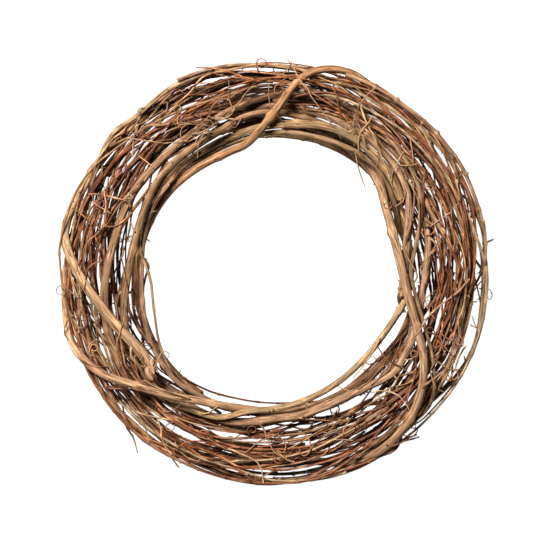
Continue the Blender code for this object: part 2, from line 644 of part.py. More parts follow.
def bark_material(vine):
    """The vine's own bark, a shade lighter or darker than the next vine's."""
    colour, roughness = BARKS[vine.bark]
    shade = 0.88 + 0.24 * (vine.first * GOLDEN % 1)
    material = bpy.data.materials.new(vine.name + "_bark")
    material.use_nodes = True
    shader = material.node_tree.nodes["Principled BSDF"]
    shader.inputs["Base Color"].default_value = (*(shade * part for part in colour), 1)
    shader.inputs["Roughness"].default_value = roughness
    shader.inputs["Metallic"].default_value = 0
    return material


def main():
    for obj in list(bpy.data.objects):
        bpy.data.objects.remove(obj)
    rng = np.random.default_rng(SIDE_VINE_SEED)
    vines = [cane(name) for name in CANES]
    vines += [side_vine(number, rng) for number in range(SIDE_VINES)]
    lay(vines)
    rings = [section_rings(vine) for vine in vines]
    bundle = Bundle(vines)
    grown = grow_shoots(vines, rings, bundle)
    grown = grow_tendrils(vines, rings, bundle, grown)
    for number, vine in enumerate(vines):
        growths = [growth for growth in grown if growth[0].number == number]
        obj = bpy.data.objects.new(vine.name, vine_mesh(vine, rings[number], growths))
        obj.data.materials.append(bark_material(vine))
        bpy.context.scene.collection.objects.link(obj)


main()
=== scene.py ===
"""A grapevine wreath: the looks of its bark, knots, broken ends, thin twigs, spurs and curled tendrils.

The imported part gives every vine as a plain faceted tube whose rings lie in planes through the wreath's
axis, ten degrees apart. Each vine is read back from it as a route, and gets a finer skin on that route.
Thinner twigs, which the part leaves out, are laid in among the vines without moving them, and small
growth comes out of vines and twigs alike. Metres, +Z up out of the wreath's face, +Y towards its top.
"""

import json
import math

import bpy
import numpy as np
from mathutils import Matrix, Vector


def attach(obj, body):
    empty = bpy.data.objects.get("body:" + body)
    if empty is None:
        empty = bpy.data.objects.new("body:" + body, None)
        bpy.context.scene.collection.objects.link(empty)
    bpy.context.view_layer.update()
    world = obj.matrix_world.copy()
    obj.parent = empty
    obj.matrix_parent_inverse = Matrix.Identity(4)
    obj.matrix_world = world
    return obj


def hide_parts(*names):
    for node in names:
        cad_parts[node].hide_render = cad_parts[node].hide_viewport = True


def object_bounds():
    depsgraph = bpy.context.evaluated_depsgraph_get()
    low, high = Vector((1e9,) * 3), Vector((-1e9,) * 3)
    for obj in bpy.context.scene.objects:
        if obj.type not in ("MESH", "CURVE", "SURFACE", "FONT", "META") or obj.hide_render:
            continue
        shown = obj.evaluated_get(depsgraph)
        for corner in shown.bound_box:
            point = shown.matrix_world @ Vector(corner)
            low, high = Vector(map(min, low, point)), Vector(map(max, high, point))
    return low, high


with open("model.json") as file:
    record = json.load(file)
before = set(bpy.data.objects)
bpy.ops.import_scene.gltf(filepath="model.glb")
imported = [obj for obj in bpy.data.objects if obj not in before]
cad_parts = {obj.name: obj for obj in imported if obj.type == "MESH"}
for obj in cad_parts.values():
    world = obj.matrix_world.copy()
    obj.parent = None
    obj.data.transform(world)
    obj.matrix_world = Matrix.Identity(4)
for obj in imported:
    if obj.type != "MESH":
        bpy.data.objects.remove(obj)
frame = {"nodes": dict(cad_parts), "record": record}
part_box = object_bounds()

MM = 0.001
TURN = 2 * math.pi
GOLDEN = (math.sqrt(5) - 1) / 2
# What a wave's phase, or a direction round a vine, is drawn from: about a whole turn
PHASES = (0, 6.3)

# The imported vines: their rings' spacing round the axis, and how near a ring's plane or a tube's long
# edge a corner lies that belongs to it
STATIONS = 36
STEP = TURN / STATIONS
IN_PLANE = 0.005 * MM

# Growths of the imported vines: the fewest corners and the most rings that one has, the radius below which
# it is a tendril, and how deep its root goes into its vine's finer skin and how much wider it is there
FEWEST_CORNERS = 12
MOST_RINGS = 80
TENDRIL = 0.95 * MM
SUNK = 1 * MM
ROOT_WIDER = 1.1

# Finer stations, for laying in the thin twigs
FINE = 2
FINE_STEP = STEP / FINE

# The bundle's section, as the part has it, and how far growth may stand up and out
MIDDLE_OUT = 182.5 * MM
HALF_WIDTH = 43 * MM
DEPTH = 62 * MM
HIGHEST = part_box[1][2] - 0.5 * MM
FARTHEST = 225 * MM
NEAREST = 133 * MM

# The least radius of anything
THINNEST = 0.2 * MM

# Where the bundle's inner edge lies for the thin twigs, as (degrees round from +X, mm out)
INNER_EDGE = (
    (0, 150), (12, 152), (24, 148), (36, 150), (48, 158), (66, 156), (90, 153), (105, 150), (125, 146),
    (150, 150), (170, 150), (185, 153), (200, 158), (215, 158), (235, 158), (250, 153), (270, 154),
    (290, 153), (310, 153), (325, 152), (340, 150), (360, 150),
)

# Places where the bundle is open and the background shows through, which the twigs lie clear of, as
# (degrees round from +X, degrees to each side, mm out from the axis, mm to each side)
OPEN_PLACES = (
    (3, 12, 224, 4), (30, 14, 221, 5), (49, 9, 215, 5), (92, 10, 190, 4), (108, 12, 207, 5),
    (128, 22, 216, 7), (142, 10, 218, 6), (148, 8, 205, 4), (184, 10, 213, 5), (226, 12, 221, 5),
    (252, 12, 208, 4), (274, 16, 217, 6), (289, 8, 197, 3), (302, 10, 167, 3), (308, 14, 179, 5),
    (327, 14, 182, 5), (345, 12, 172, 5), (348, 20, 222, 7), (11, 8, 218, 4), (60, 8, 214, 3),
    (104, 8, 223, 3), (119, 8, 199, 3), (205, 8, 160, 3), (188, 6, 166, 3), (337, 8, 206, 3),
)
OPEN_PUSH = 0.3


def inner_edge(degrees):
    """How far out the bundle's inner edge lies."""
    return np.interp(degrees, *np.transpose(INNER_EDGE)) * MM


# Curves


def smooth_through(knots, values, at):
    """A curve through values at knots: cubic pieces, each knot's slope being that of its neighbours."""
    slopes = np.gradient(values, knots, axis=0)
    piece = np.clip(np.searchsorted(knots, at, side="right") - 1, 0, len(knots) - 2)
    width = (knots[piece + 1] - knots[piece])[:, None]
    t = (at - knots[piece])[:, None] / width
    return (
        (2 * t**3 - 3 * t**2 + 1) * values[piece]
        + (t**3 - 2 * t**2 + t) * width * slopes[piece]
        + (3 * t**2 - 2 * t**3) * values[piece + 1]
        + (t**3 - t**2) * width * slopes[piece + 1]
    )


def lengths_along(path):
    """The length along a path at each of its points."""
    return np.concatenate([[0], np.cumsum(np.linalg.norm(np.diff(path, axis=0), axis=1))])


def evenly(path, radius, spacing):
    """The path and its radius again, at points that lie evenly about one spacing apart."""
    run = lengths_along(path)
    count = max(4, int(round(run[-1] / spacing)) + 1)
    at = np.linspace(0, run[-1], count)
    both = smooth_through(run, np.column_stack([path, radius]), at)
    return both[:, :3], np.maximum(both[:, 3], THINNEST)


def through(knots, count):
    """A smooth path of count points through knots that are taken as evenly apart."""
    return smooth_through(np.arange(len(knots)), knots, np.linspace(0, len(knots) - 1, count))


def tapered(thickness, first, last, count):
    """Radii along something: half its thickness, times shares that go evenly from first to last."""
    return thickness / 2 * np.linspace(first, last, count)


def in_space(angle, route):
    """Points in space from angles round the axis and a route of (out, up)."""
    return np.stack([route[:, 0] * np.cos(angle), route[:, 0] * np.sin(angle), route[:, 1]], axis=1)


def unit(vectors):
    """The vectors at length 1."""
    return vectors / np.maximum(np.linalg.norm(vectors, axis=-1, keepdims=True), 1e-12)


class Vine:
    """A vine or twig: its first station and the angle from one station to the next, its route (out, up)
    and its radius at each, and what grows out of it, each as (path, radius, relief, how bare of bark)."""

    def __init__(self, name, first, step, route, radius):
        self.name, self.first, self.step = name, first, step
        self.route, self.radius = route, radius
        self.growths = []

    def grow(self, path, radius, relief, bare=0.0):
        """Adds a growth."""
        self.growths.append((path, radius, relief, bare))

    def at(self, places):
        """The route and the radius at places, counted in stations from the vine's first."""
        knots = np.arange(len(self.route), dtype=float)
        both = smooth_through(knots, np.column_stack([self.route, self.radius]), places)
        return both[:, :2], both[:, 2]

    def path(self, spacing):
        """The vine's smooth centre line and radius, at points about one spacing apart."""
        places = np.linspace(0, len(self.route) - 1, 12 * len(self.route))
        route, radius = self.at(places)
        return evenly(in_space((self.first + places) * self.step, route), radius, spacing)

    def at_fine_stations(self):
        """The same vine with a point at each fine station."""
        route, radius = self.at(np.arange(0, len(self.route) - 0.99, 1 / FINE))
        return Vine(self.name, self.first * FINE, FINE_STEP, route, radius)


# Relief of bark. A cane's flutes are (lobes round it, height), heights being shares of the radius

FLUTES = ((2, 0.05), (3, 0.035), (5, 0.025), (7, 0.015))
FLUTES_DRIFT = (35 * MM, 80 * MM)
CANE_KNOTS = (55 * MM, 110 * MM)
KNOT_LENGTH = 4.5 * MM
KNOT_HEIGHTS = (0.06, 0.22)
BUD_LENGTH = 2.6 * MM
TWIG_TWIST = (15 * MM, 40 * MM)
TWIG_KNOTS = (16 * MM, 45 * MM)
TWIG_KNOT_LENGTH = 1.8 * MM
TORN_LUMPS = 2.5 * MM
TORN_TIP = 4 * MM
TENDRIL_TIP = 3 * MM


def bumps(run, spots, width):
    """A smooth bump of height 1 at each spot along, exp(-((u - spot) / width)^2)."""
    return np.exp(-(((run[:, None] - spots) / width) ** 2))


def one_side(around, facing, width):
    """A smooth bump of height 1 towards each angle that it faces, exp((cos(v - facing) - 1) / width)."""
    return np.exp((np.cos(around[None] - facing[:, None]) - 1) / width)


def cane_relief(run, around, rng):
    """A thick cane's relief: flutes, knots and buds.

    Flutes: cosines of 2, 3, 5 and 7 times the angle, whose phase drifts along the cane. Knots: every
    55 to 110 mm a swelling all round, and at each a bud on one side, by turns left and right.
    """
    grid = np.ones((len(run), len(around)))
    for lobes, height in FLUTES:
        drift = rng.uniform(*PHASES) + 1.5 * np.sin(run / rng.uniform(*FLUTES_DRIFT) + rng.uniform(*PHASES))
        grid += height * np.cos(lobes * around[None] + drift[:, None])
    spots = np.cumsum(rng.uniform(*CANE_KNOTS, 40)) - rng.uniform(0, 60 * MM)
    grid += (bumps(run, spots, KNOT_LENGTH) @ rng.uniform(*KNOT_HEIGHTS, len(spots)))[:, None]
    facing = np.arange(len(spots)) * math.pi + rng.uniform(*PHASES) + rng.normal(0, 0.3, len(spots))
    return grid + 0.3 * bumps(run, spots + 1.5 * MM, BUD_LENGTH) @ one_side(around, facing, 0.16)


def twig_relief(run, around, rng):
    """A thin twig's relief: one slow flute, and small one-sided knots every 16 to 45 mm."""
    drift = rng.uniform(*PHASES) + run / rng.uniform(*TWIG_TWIST)
    grid = 1 + 0.07 * np.cos(2 * around[None] + drift[:, None])
    spots = np.cumsum(rng.uniform(*TWIG_KNOTS, 60)) - rng.uniform(0, 30 * MM)
    facing = np.arange(len(spots)) * math.pi + rng.uniform(*PHASES)
    knots = bumps(run, spots, TWIG_KNOT_LENGTH)
    return grid + 0.25 * knots.sum(axis=1)[:, None] + 0.6 * knots @ one_side(around, facing, 0.3)


def torn_relief(run, around, rng):
    """A torn end is lumpy: cosines of 2 to 5 times the angle whose phase turns as it goes along, and
    rounded over its last 4 mm."""
    grid = np.ones((len(run), len(around)))
    for lobes in (2, 3, 4, 5):
        grid += 0.13 * np.cos(lobes * around[None] + (run / TORN_LUMPS + rng.uniform(*PHASES))[:, None])
    return grid * np.sqrt(np.clip((run[-1] - run) / TORN_TIP, 0.05, 1))[:, None]


def tendril_relief(run, around, rng):
    """A tendril is round, and comes to a blunt tip over its last 3 mm."""
    tip = np.sqrt(np.clip((run[-1] - run) / TENDRIL_TIP, 0.02, 1))
    return tip[:, None] * np.ones(len(around))


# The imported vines, read back


def corners_and_edges(mesh):
    """The mesh's separate corners, and the pairs of them that an edge of a triangle joins."""
    corners = np.empty(3 * len(mesh.vertices))
    mesh.vertices.foreach_get("co", corners)
    points, index = np.unique(np.round(corners.reshape(-1, 3), 6), axis=0, return_inverse=True)
    loops = np.empty(len(mesh.loops), int)
    mesh.loops.foreach_get("vertex_index", loops)
    triangles = index.ravel()[loops].reshape(-1, 3)
    return points, np.concatenate([triangles[:, [0, 1]], triangles[:, [1, 2]], triangles[:, [2, 0]]])


def steps_from(start, edges, most):
    """For each corner, how many edges away from the nearest starting corner it is."""
    steps = np.where(start, 0, most)
    for _ in range(most):
        near = np.minimum(steps[edges[:, 0]], steps[edges[:, 1]]) + 1
        np.minimum.at(steps, edges[:, 0], near)
        np.minimum.at(steps, edges[:, 1], near)
    return steps


def bodies_of(chosen, edges, most):
    """For each chosen corner, the number of the body of joined corners that it belongs to."""
    label = np.where(chosen, np.arange(len(chosen)), len(chosen))
    inner = edges[chosen[edges].all(axis=1)]
    for _ in range(most):
        low = np.minimum(label[inner[:, 0]], label[inner[:, 1]])
        np.minimum.at(label, inner[:, 0], low)
        np.minimum.at(label, inner[:, 1], low)
    return label


def off_long_edges(points, near_ring, far_ring):
    """How far each point lies from the nearest line between a corner of one ring and one of the next."""
    start = np.repeat(near_ring, len(far_ring), axis=0)
    way = np.tile(far_ring, (len(near_ring), 1)) - start
    t = ((points[:, None] - start) * way).sum(2) / (way**2).sum(1)
    return np.linalg.norm(points[:, None] - start - t[:, :, None] * way, axis=2).min(axis=1)


def read_vine(name, mesh):
    """A vine's route, radius and growths, from the corners of its packed tube.

    A ring is the corners in one plane that have two neighbours there, which leaves out a corner of a
    growth that is in it by chance, and their mean is its middle. A round section of radius R that the
    plane cuts on a slope s is an ellipse, whose corners lie sqrt(R^2 (1 + s^2 / 2)) from the middle in
    the mean of squares. Corners that lie on none of the tube's long edges belong to growths: those that
    are n edges away from the tube are the growth's ring n.
    """
    points, edges = corners_and_edges(mesh)
    out = np.hypot(points[:, 0], points[:, 1])
    turn = np.arctan2(points[:, 1], points[:, 0]) / STEP
    in_ring = np.abs(turn - np.round(turn)) * STEP * out < IN_PLANE
    station = np.round(turn).astype(int) % STATIONS
    round_ring = in_ring[edges].all(axis=1) & (station[edges[:, 0]] == station[edges[:, 1]])
    in_ring = np.bincount(edges[round_ring, 0], minlength=len(points)) >= 2
    present = np.bincount(station[in_ring], minlength=STATIONS) > 0
    first = int(np.flatnonzero(present & ~np.roll(present, 1))[0])
    place = (station - first) % STATIONS
    section = np.stack([out, points[:, 2]], axis=1)
    count = np.bincount(place[in_ring])
    sums = [np.bincount(place[in_ring], section[in_ring, axis]) for axis in (0, 1)]
    route = np.stack(sums, axis=1) / count[:, None]
    spread = ((section - route[np.minimum(place, len(route) - 1)]) ** 2).sum(1)
    spread = np.bincount(place[in_ring], spread[in_ring]) / count
    slope = np.linalg.norm(np.gradient(route, axis=0), axis=1) / (route[:, 0] * STEP)
    radius = np.sqrt(spread / (1 + slope**2 / 2))
    vine = Vine(name, first, STEP, route, radius)

    grown = ~in_ring
    for number in range(len(route) - 1):
        near_ring, far_ring = (points[in_ring & (place == number + more)] for more in (0, 1))
        between = np.flatnonzero(~in_ring & (((turn - first) % STATIONS).astype(int) == number))
        grown[between] = off_long_edges(points[between], near_ring, far_ring) > IN_PLANE
    steps = steps_from(~grown, edges, MOST_RINGS)
    label = bodies_of(grown, edges, MOST_RINGS)
    for number in np.unique(label[grown]):
        own = label == number
        if own.sum() < FEWEST_CORNERS:
            continue
        joins = edges[own[edges].any(axis=1) & ~grown[edges].all(axis=1)]
        path = [points[np.unique(joins[~grown[joins]])].mean(axis=0)]
        thick = []
        for layer in range(1, steps[own].max() + 1):
            ring = points[own & (steps == layer)]
            path.append(ring.mean(axis=0))
            thick.append(np.linalg.norm(ring - path[-1], axis=1).mean())
        path = np.array(path)
        path[0] -= SUNK * unit(path[1] - path[0])
        thick = np.array([thick[0] * ROOT_WIDER] + thick)
        vine.grow(path, thick, tendril_relief if thick.max() < TENDRIL else twig_relief)
    return vine


# Thin twigs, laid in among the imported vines

TWIGS = 56
TWIG_SEED = 5
TWIG_THICKNESS = (1.6 * MM, 2.9 * MM)
TWIG_TURNS = (0.2, 0.7)

# Laying them in: the clearance that they are given, the reach within which stretches are compared, how
# often, and the share by which a round straightens a twig's bends and draws it towards its route
CLEARANCE = 0.15 * MM
REACH = 16 * MM
COMPARED_EVERY = 10
LAYING_ROUNDS = 260
SETTLING_ROUNDS = 60
STRAIGHTENING = 0.25
DRAWING = 0.02


def twig(number, rng):
    """A thin twig's route at the fine stations, wandering across the bundle's section.

    Across, the twigs go from the inner edge to the outer one by their numbers, and they lie at all
    heights. Two slow waves move each of them across, and two up and down.
    """
    count = int(rng.uniform(*TWIG_TURNS) * STATIONS * FINE)
    first = int(number * GOLDEN * STATIONS * FINE) % (STATIONS * FINE)
    run = np.arange(count) * FINE_STEP
    wander = [rng.uniform(0.1, 0.4) * np.sin(rng.uniform(1, 5) * run + rng.uniform(*PHASES))
              for _ in range(4)]
    across = np.clip(-0.6 + 1.5 * ((number + 0.5) / TWIGS) ** 0.8 + wander[0] + wander[1], -0.95, 0.97)
    up = np.clip(2 * ((number * GOLDEN + 0.1) % 1) - 1 + wander[2] + wander[3], -1, 1)
    up *= np.sqrt(1 - 0.7 * across**2)
    # Towards the hole the twigs lie under the canes
    up = np.minimum(up, 0.5 + 1.5 * across)
    route = np.stack([MIDDLE_OUT + HALF_WIDTH * across, DEPTH / 2 * (1 + up)], axis=1)
    radius = tapered(rng.uniform(*TWIG_THICKNESS), 1.1, 0.7, count)
    return Vine(None, first, FINE_STEP, route, radius if number % 2 else radius[::-1].copy())


def pairs_near(points, heads, loose, reach):
    """The pairs of stretches that cross the same gap between stations within reach, one of them loose."""
    found = []
    for head in heads:
        i, j = np.triu_indices(len(head), 1)
        a, c = head[i], head[j]
        near = (np.linalg.norm(points[a] - points[c], axis=1) < reach) & (loose[a] | loose[c])
        found.append(np.stack([a[near], c[near]]))
    return np.concatenate(found, axis=1)


def drawn_into_place(points, radius, degrees):
    """How far in or out each point moves to leave the open places and the hole."""
    move = np.maximum(inner_edge(degrees) + radius - points[:, 0], 0)
    for middle, reach, out, half in OPEN_PLACES:
        away = np.abs((degrees - middle + 180) % 360 - 180)
        aside = points[:, 0] - out * MM
        short = half * MM + radius - np.abs(aside)
        move += OPEN_PUSH * np.where((away < reach) & (short > 0), np.copysign(short, aside), 0)
    return move


def lay_in(fixed, twigs):
    """Moves the twigs off the fixed vines and off each other, while each keeps near its route.

    Two stretches between the same stations are straight, so they come nearest where the line of their
    difference passes nearest to nought. Each round moves the loose ones apart by what they lack there,
    then draws every twig a little towards its route and straightens its bends.
    """
    vines = fixed + twigs
    starts = np.concatenate([[0], np.cumsum([len(vine.route) for vine in vines])])
    goal = np.concatenate([vine.route for vine in vines])
    radius = np.concatenate([vine.radius for vine in vines])
    station = np.concatenate([(v.first + np.arange(len(v.route))) % (STATIONS * FINE) for v in vines])
    degrees = station * 360 / (STATIONS * FINE)
    loose = np.arange(len(goal)) >= starts[len(fixed)]
    last = np.zeros(len(goal), bool)
    last[starts[1:] - 1] = True
    inner = loose & ~last
    inner[starts[:-1]] = False
    inner = np.flatnonzero(inner)
    heads = [np.flatnonzero((station == number) & ~last) for number in range(STATIONS * FINE)]
    points = goal.copy()
    for turn in range(LAYING_ROUNDS + SETTLING_ROUNDS):
        if turn % COMPARED_EVERY == 0:
            a, c = pairs_near(points, heads, loose, REACH)
            b, d = a + 1, c + 1
            need = np.maximum(radius[a], radius[b]) + np.maximum(radius[c], radius[d]) + CLEARANCE
            share_each = np.where(loose[a] & loose[c], 0.5, 1.0)
        start = points[a] - points[c]
        change = points[b] - points[d] - start
        t = np.clip(-(start * change).sum(1) / np.maximum((change**2).sum(1), 1e-12), 0, 1)
        apart = start + t[:, None] * change
        gap = np.maximum(np.hypot(*apart.T), 1e-9)
        slope = (change * apart).sum(1) / gap / (FINE_STEP * points[a, 0])
        short = np.maximum(need * np.sqrt(1 + slope**2 / 4) - gap, 0)
        push = (short * share_each / ((1 - t) ** 2 + t**2) / gap)[:, None] * apart
        move, count = np.zeros_like(points), np.zeros(len(points))
        for point, share, sign in ((a, 1 - t, 1), (b, t, 1), (c, 1 - t, -1), (d, t, -1)):
            np.add.at(move, point, (sign * share)[:, None] * push)
            np.add.at(count, point, (short > 0) & (share > 0.05))
        points[loose] += (move / np.maximum(count, 1)[:, None] ** 0.7)[loose]
        if turn < LAYING_ROUNDS:
            shift = points - goal
            points[inner] += STRAIGHTENING * ((shift[inner - 1] + shift[inner + 1]) / 2 - shift[inner])
            points[loose] -= DRAWING * shift[loose]
            points[loose, 0] += drawn_into_place(points, radius, degrees)[loose]
        points[loose, 1] = np.maximum(points[:, 1], radius + 0.2 * MM)[loose]
    for vine, start, end in zip(twigs, starts[len(fixed):-1], starts[len(fixed) + 1:]):
        vine.route = points[start:end]


# What has been laid so far, for small growth to keep clear of

# How long a vine's stretches are, and how far off one may lie and still count: for a gap, for what a
# course rests on, and for the topmost vine at a place
STRETCH = 3 * MM
GAP_REACH = 10 * MM
REST_REACH = 8 * MM
PLACE_REACH = 3 * MM


class Thicket:
    """Every straight stretch laid so far: its ends, its radius and the vine that it belongs to."""

    def __init__(self):
        self.stretches = np.zeros((0, 8))

    def add(self, path, radius, owner):
        """Adds the stretches of a path that belongs to the vine with the owner's number."""
        thick = np.maximum(radius[:-1], radius[1:])
        more = np.column_stack([path[:-1], path[1:], thick, np.full(len(thick), owner)])
        self.stretches = np.concatenate([self.stretches, more])

    def near(self, path, reach):
        """Start, way, radius and owner of the stretches that come within reach of a path."""
        low, high = path.min(axis=0) - reach, path.max(axis=0) + reach
        start, end = self.stretches[:, :3], self.stretches[:, 3:6]
        inside = ((np.minimum(start, end) < high) & (np.maximum(start, end) > low)).all(axis=1)
        found = self.stretches[inside]
        return found[:, :3], found[:, 3:6] - found[:, :3], found[:, 6], found[:, 7].astype(int)

    def gaps(self, path, radius):
        """The gap between each point of a path and its nearest stretch."""
        start, way, thick, _ = self.near(path, GAP_REACH)
        t = np.clip(((path[:, None] - start) * way).sum(2) / (way**2).sum(1), 0, 1)
        away = np.linalg.norm(path[:, None] - start - t[:, :, None] * way, axis=2)
        return (away - thick).min(axis=1, initial=GAP_REACH) - radius

    def top(self, path, radius):
        """The least height at which each point of a path clears what lies under it, in plan, as a
        circle resting on a circle: z + sqrt((r1 + r2)^2 - d^2)."""
        start, way, thick, _ = self.near(path, np.array([REST_REACH, REST_REACH, 1]))
        flat = np.maximum((way[:, :2] ** 2).sum(1), 1e-12)
        t = np.clip(((path[:, None, :2] - start[:, :2]) * way[:, :2]).sum(2) / flat, 0, 1)
        foot = start + t[:, :, None] * way
        away = np.linalg.norm(path[:, None, :2] - foot[:, :, :2], axis=2)
        room = (thick + radius[:, None]) ** 2 - away**2
        rests = np.where(room > 0, foot[:, :, 2] + np.sqrt(np.maximum(room, 0)), 0)
        return rests.max(axis=1, initial=0)

    def topmost(self, place):
        """A point in the middle of the vine that lies highest near a place in plan, the way that the
        vine runs there, its radius and its number."""
        reach = np.array([PLACE_REACH, PLACE_REACH, 1])
        start, way, thick, owner = self.near(np.array([[*place, 0]]), reach)
        if not len(start):
            return None
        best = int(np.argmax(start[:, 2] + thick))
        return start[best] + way[best] / 2, unit(way[best]), thick[best], owner[best]


# Small growth: curled tendrils, twigs that cross the bundle, and spurs

CURL_SEED = 23
CURLS = 30
CURL_TRIES = 25
CURL_THICKNESS = (1.0 * MM, 1.5 * MM)
CURL_ROOTS = (155 * MM, 222 * MM)
CURLS_REACH = 217 * MM
STEM_LENGTH = (4 * MM, 18 * MM)
COIL_TURNS = (0.6, 2.2)
COIL_STEP = 0.35
COIL_RADIUS = (2.5 * MM, 6.5 * MM)
COIL_RISE = (1.2 * MM, 3.5 * MM)

CROSS_SEED = 31
CROSS_TWIGS = 70
CROSS_THICKNESS = (1.0 * MM, 1.9 * MM)
CROSS_ROOTS = (150 * MM, 218 * MM)
CROSS_LENGTH = (16 * MM, 70 * MM)
CROSS_SLANT = (0.1, 0.7)
CROSS_STEP = 2.5 * MM

SPUR_SEED = 3
SPURS = 800
SPUR_LENGTH = (1.5 * MM, 6 * MM)
SPUR_LEAN = (0.2, 1.3)
SPUR_RADIUS = 0.7 * MM

# How far growth keeps from what was laid before it, and the rounds in which a course over others is
# straightened
ROOM = 0.1 * MM
STRAIGHTENED = 80

# Thin twigs and tendrils that lie on the face, each as its thickness in mm and its course as (mm right,
# mm up) of the axis, as the camera sees it. They lie nearer to it than the wreath's middle, which makes
# them look larger by SEEN_LARGER, and those above STOUT_FACE_TWIG have a twig's relief
FACE_TWIGS = (
    (2.2, ((-201, 85), (-189, 84), (-172, 80), (-157, 76), (-153, 67), (-155, 56), (-150, 44))),
    (1.5, ((-145, 125), (-135, 118), (-126, 111))),
    (1.4, ((-196, 76), (-189, 71), (-182, 67), (-174, 62))),
    (1.9, ((-159, 117), (-160, 108), (-168, 96), (-174, 86))),
    (1.5, ((-175, 111), (-176, 103), (-178, 96))),
    (1.7, ((-182, 86), (-180, 74), (-181, 63), (-183, 47))),
    (1.8, ((-194, 42), (-188, 22), (-186, 13))),
    (1.5, ((-186, 13), (-196, 8), (-200, 1), (-201, -6), (-202, -16), (-211, -26))),
    (1.5, ((-186, -62), (-194, -54), (-203, -46), (-214, -46), (-223, -54), (-226, -66), (-221, -73))),
    (1.4, ((-212, -47), (-212, -56), (-206, -60), (-201, -56), (-203, -48), (-209, -48))),
    (1.5, ((-189, -74), (-197, -77), (-199, -83), (-192, -85), (-189, -81), (-195, -78), (-198, -88),
           (-191, -91))),
    (1.7, ((-63, 147), (-69, 148), (-80, 149), (-88, 142), (-94, 141), (-98, 145), (-98, 152),
           (-94, 157), (-88, 158))),
    (1.5, ((-83, 141), (-80, 146), (-70, 150), (-76, 154), (-83, 152), (-85, 146))),
    (3.0, ((-51, 187), (-57, 186), (-64, 181), (-68, 174), (-70, 167), (-77, 159), (-82, 156))),
    (1.7, ((-59, 184), (-56, 176))),
    (1.5, ((-115, 186), (-116, 177), (-118, 171))),
    (1.2, ((-155, 152), (-147, 148))),
    (1.9, ((-125, -159), (-121, -170), (-120, -178), (-116, -189), (-109, -198), (-100, -207))),
    (1.8, ((-17, -162), (-11, -168), (-8, -174), (-4, -182), (1, -192), (11, -199), (23, -203))),
    (1.7, ((-8, -177), (-2, -175), (5, -176), (12, -182), (14, -188), (11, -194), (4, -191))),
    (1.7, ((29, -176), (35, -176), (40, -184), (40, -191), (34, -197), (29, -194), (28, -187))),
    (1.4, ((83, -161), (77, -168), (75, -177))),
    (1.5, ((61, -189), (60, -191), (55, -197), (47, -201))),
    (1.5, ((113, -81), (120, -92), (126, -99))),
    (1.4, ((115, -100), (106, -103), (105, -97), (111, -94), (115, -97), (112, -102))),
    (1.7, ((112, -111), (117, -104), (126, -101), (134, -101), (142, -105), (150, -112))),
    (1.5, ((172, -66), (180, -71), (181, -77), (175, -82), (173, -76), (178, -74), (186, -91))),
    (1.7, ((206, -80), (202, -91), (196, -103), (188, -116))),
    (2.2, ((128, -188), (138, -185), (147, -181), (157, -177))),
    (1.1, ((140, -175), (148, -177), (154, -170), (155, -164))),
    (2.1, ((210, -8), (197, -22), (184, -33), (173, -43), (162, -53))),
    (1.7, ((163, 58), (172, 52), (175, 46), (171, 41), (164, 39))),
    (1.7, ((172, 10), (171, 19), (174, 24), (180, 20), (177, 14), (171, 16))),
    (1.8, ((106, 168), (102, 160), (95, 152), (92, 143), (92, 134), (94, 125))),
    (1.9, ((105, 152), (123, 130), (137, 114), (149, 94), (157, 73))),
    (1.5, ((148, 146), (150, 129), (151, 115))),
    (1.4, ((137, 116), (146, 115), (157, 117))),
    (1.5, ((127, 75), (121, 74), (123, 69), (128, 70), (127, 75))),
    (2.4, ((156, 80), (157, 63), (156, 39), (156, 27))),
    (1.2, ((225, -33), (219, -35), (216, -52))),
    (1.2, ((214, -57), (223, -62))),
)
SEEN_LARGER = 1.017
FACE_STEP = 1.8 * MM
STOUT_FACE_TWIG = 1.7

# Ends that were torn off: the vine, whether it is its last end, and the stub of torn wood that still
# hangs on it, as its thickness and the ways it goes on from the end, in mm
TORN_ENDS = (
    ("wrap_cane_left", True, 10.5,
     ((-3, 12, -1), (-5, 6, 1), (-5, 0, 1.5), (-4, -5, 0.5), (-3, -10, -1.5))),
    ("broken_cane_top_right", False, 6.0, ((-2, 5, 0), (0, 0, 0), (2, -5, -1), (2, -9, -2))),
)
TORN_SEED = 77
STUB_POINTS = 12
SPLINTERS = 7
SPLINTER_LENGTH = (3 * MM, 9 * MM)
SPLINTER_THICKNESS = (1.0 * MM, 2.2 * MM)

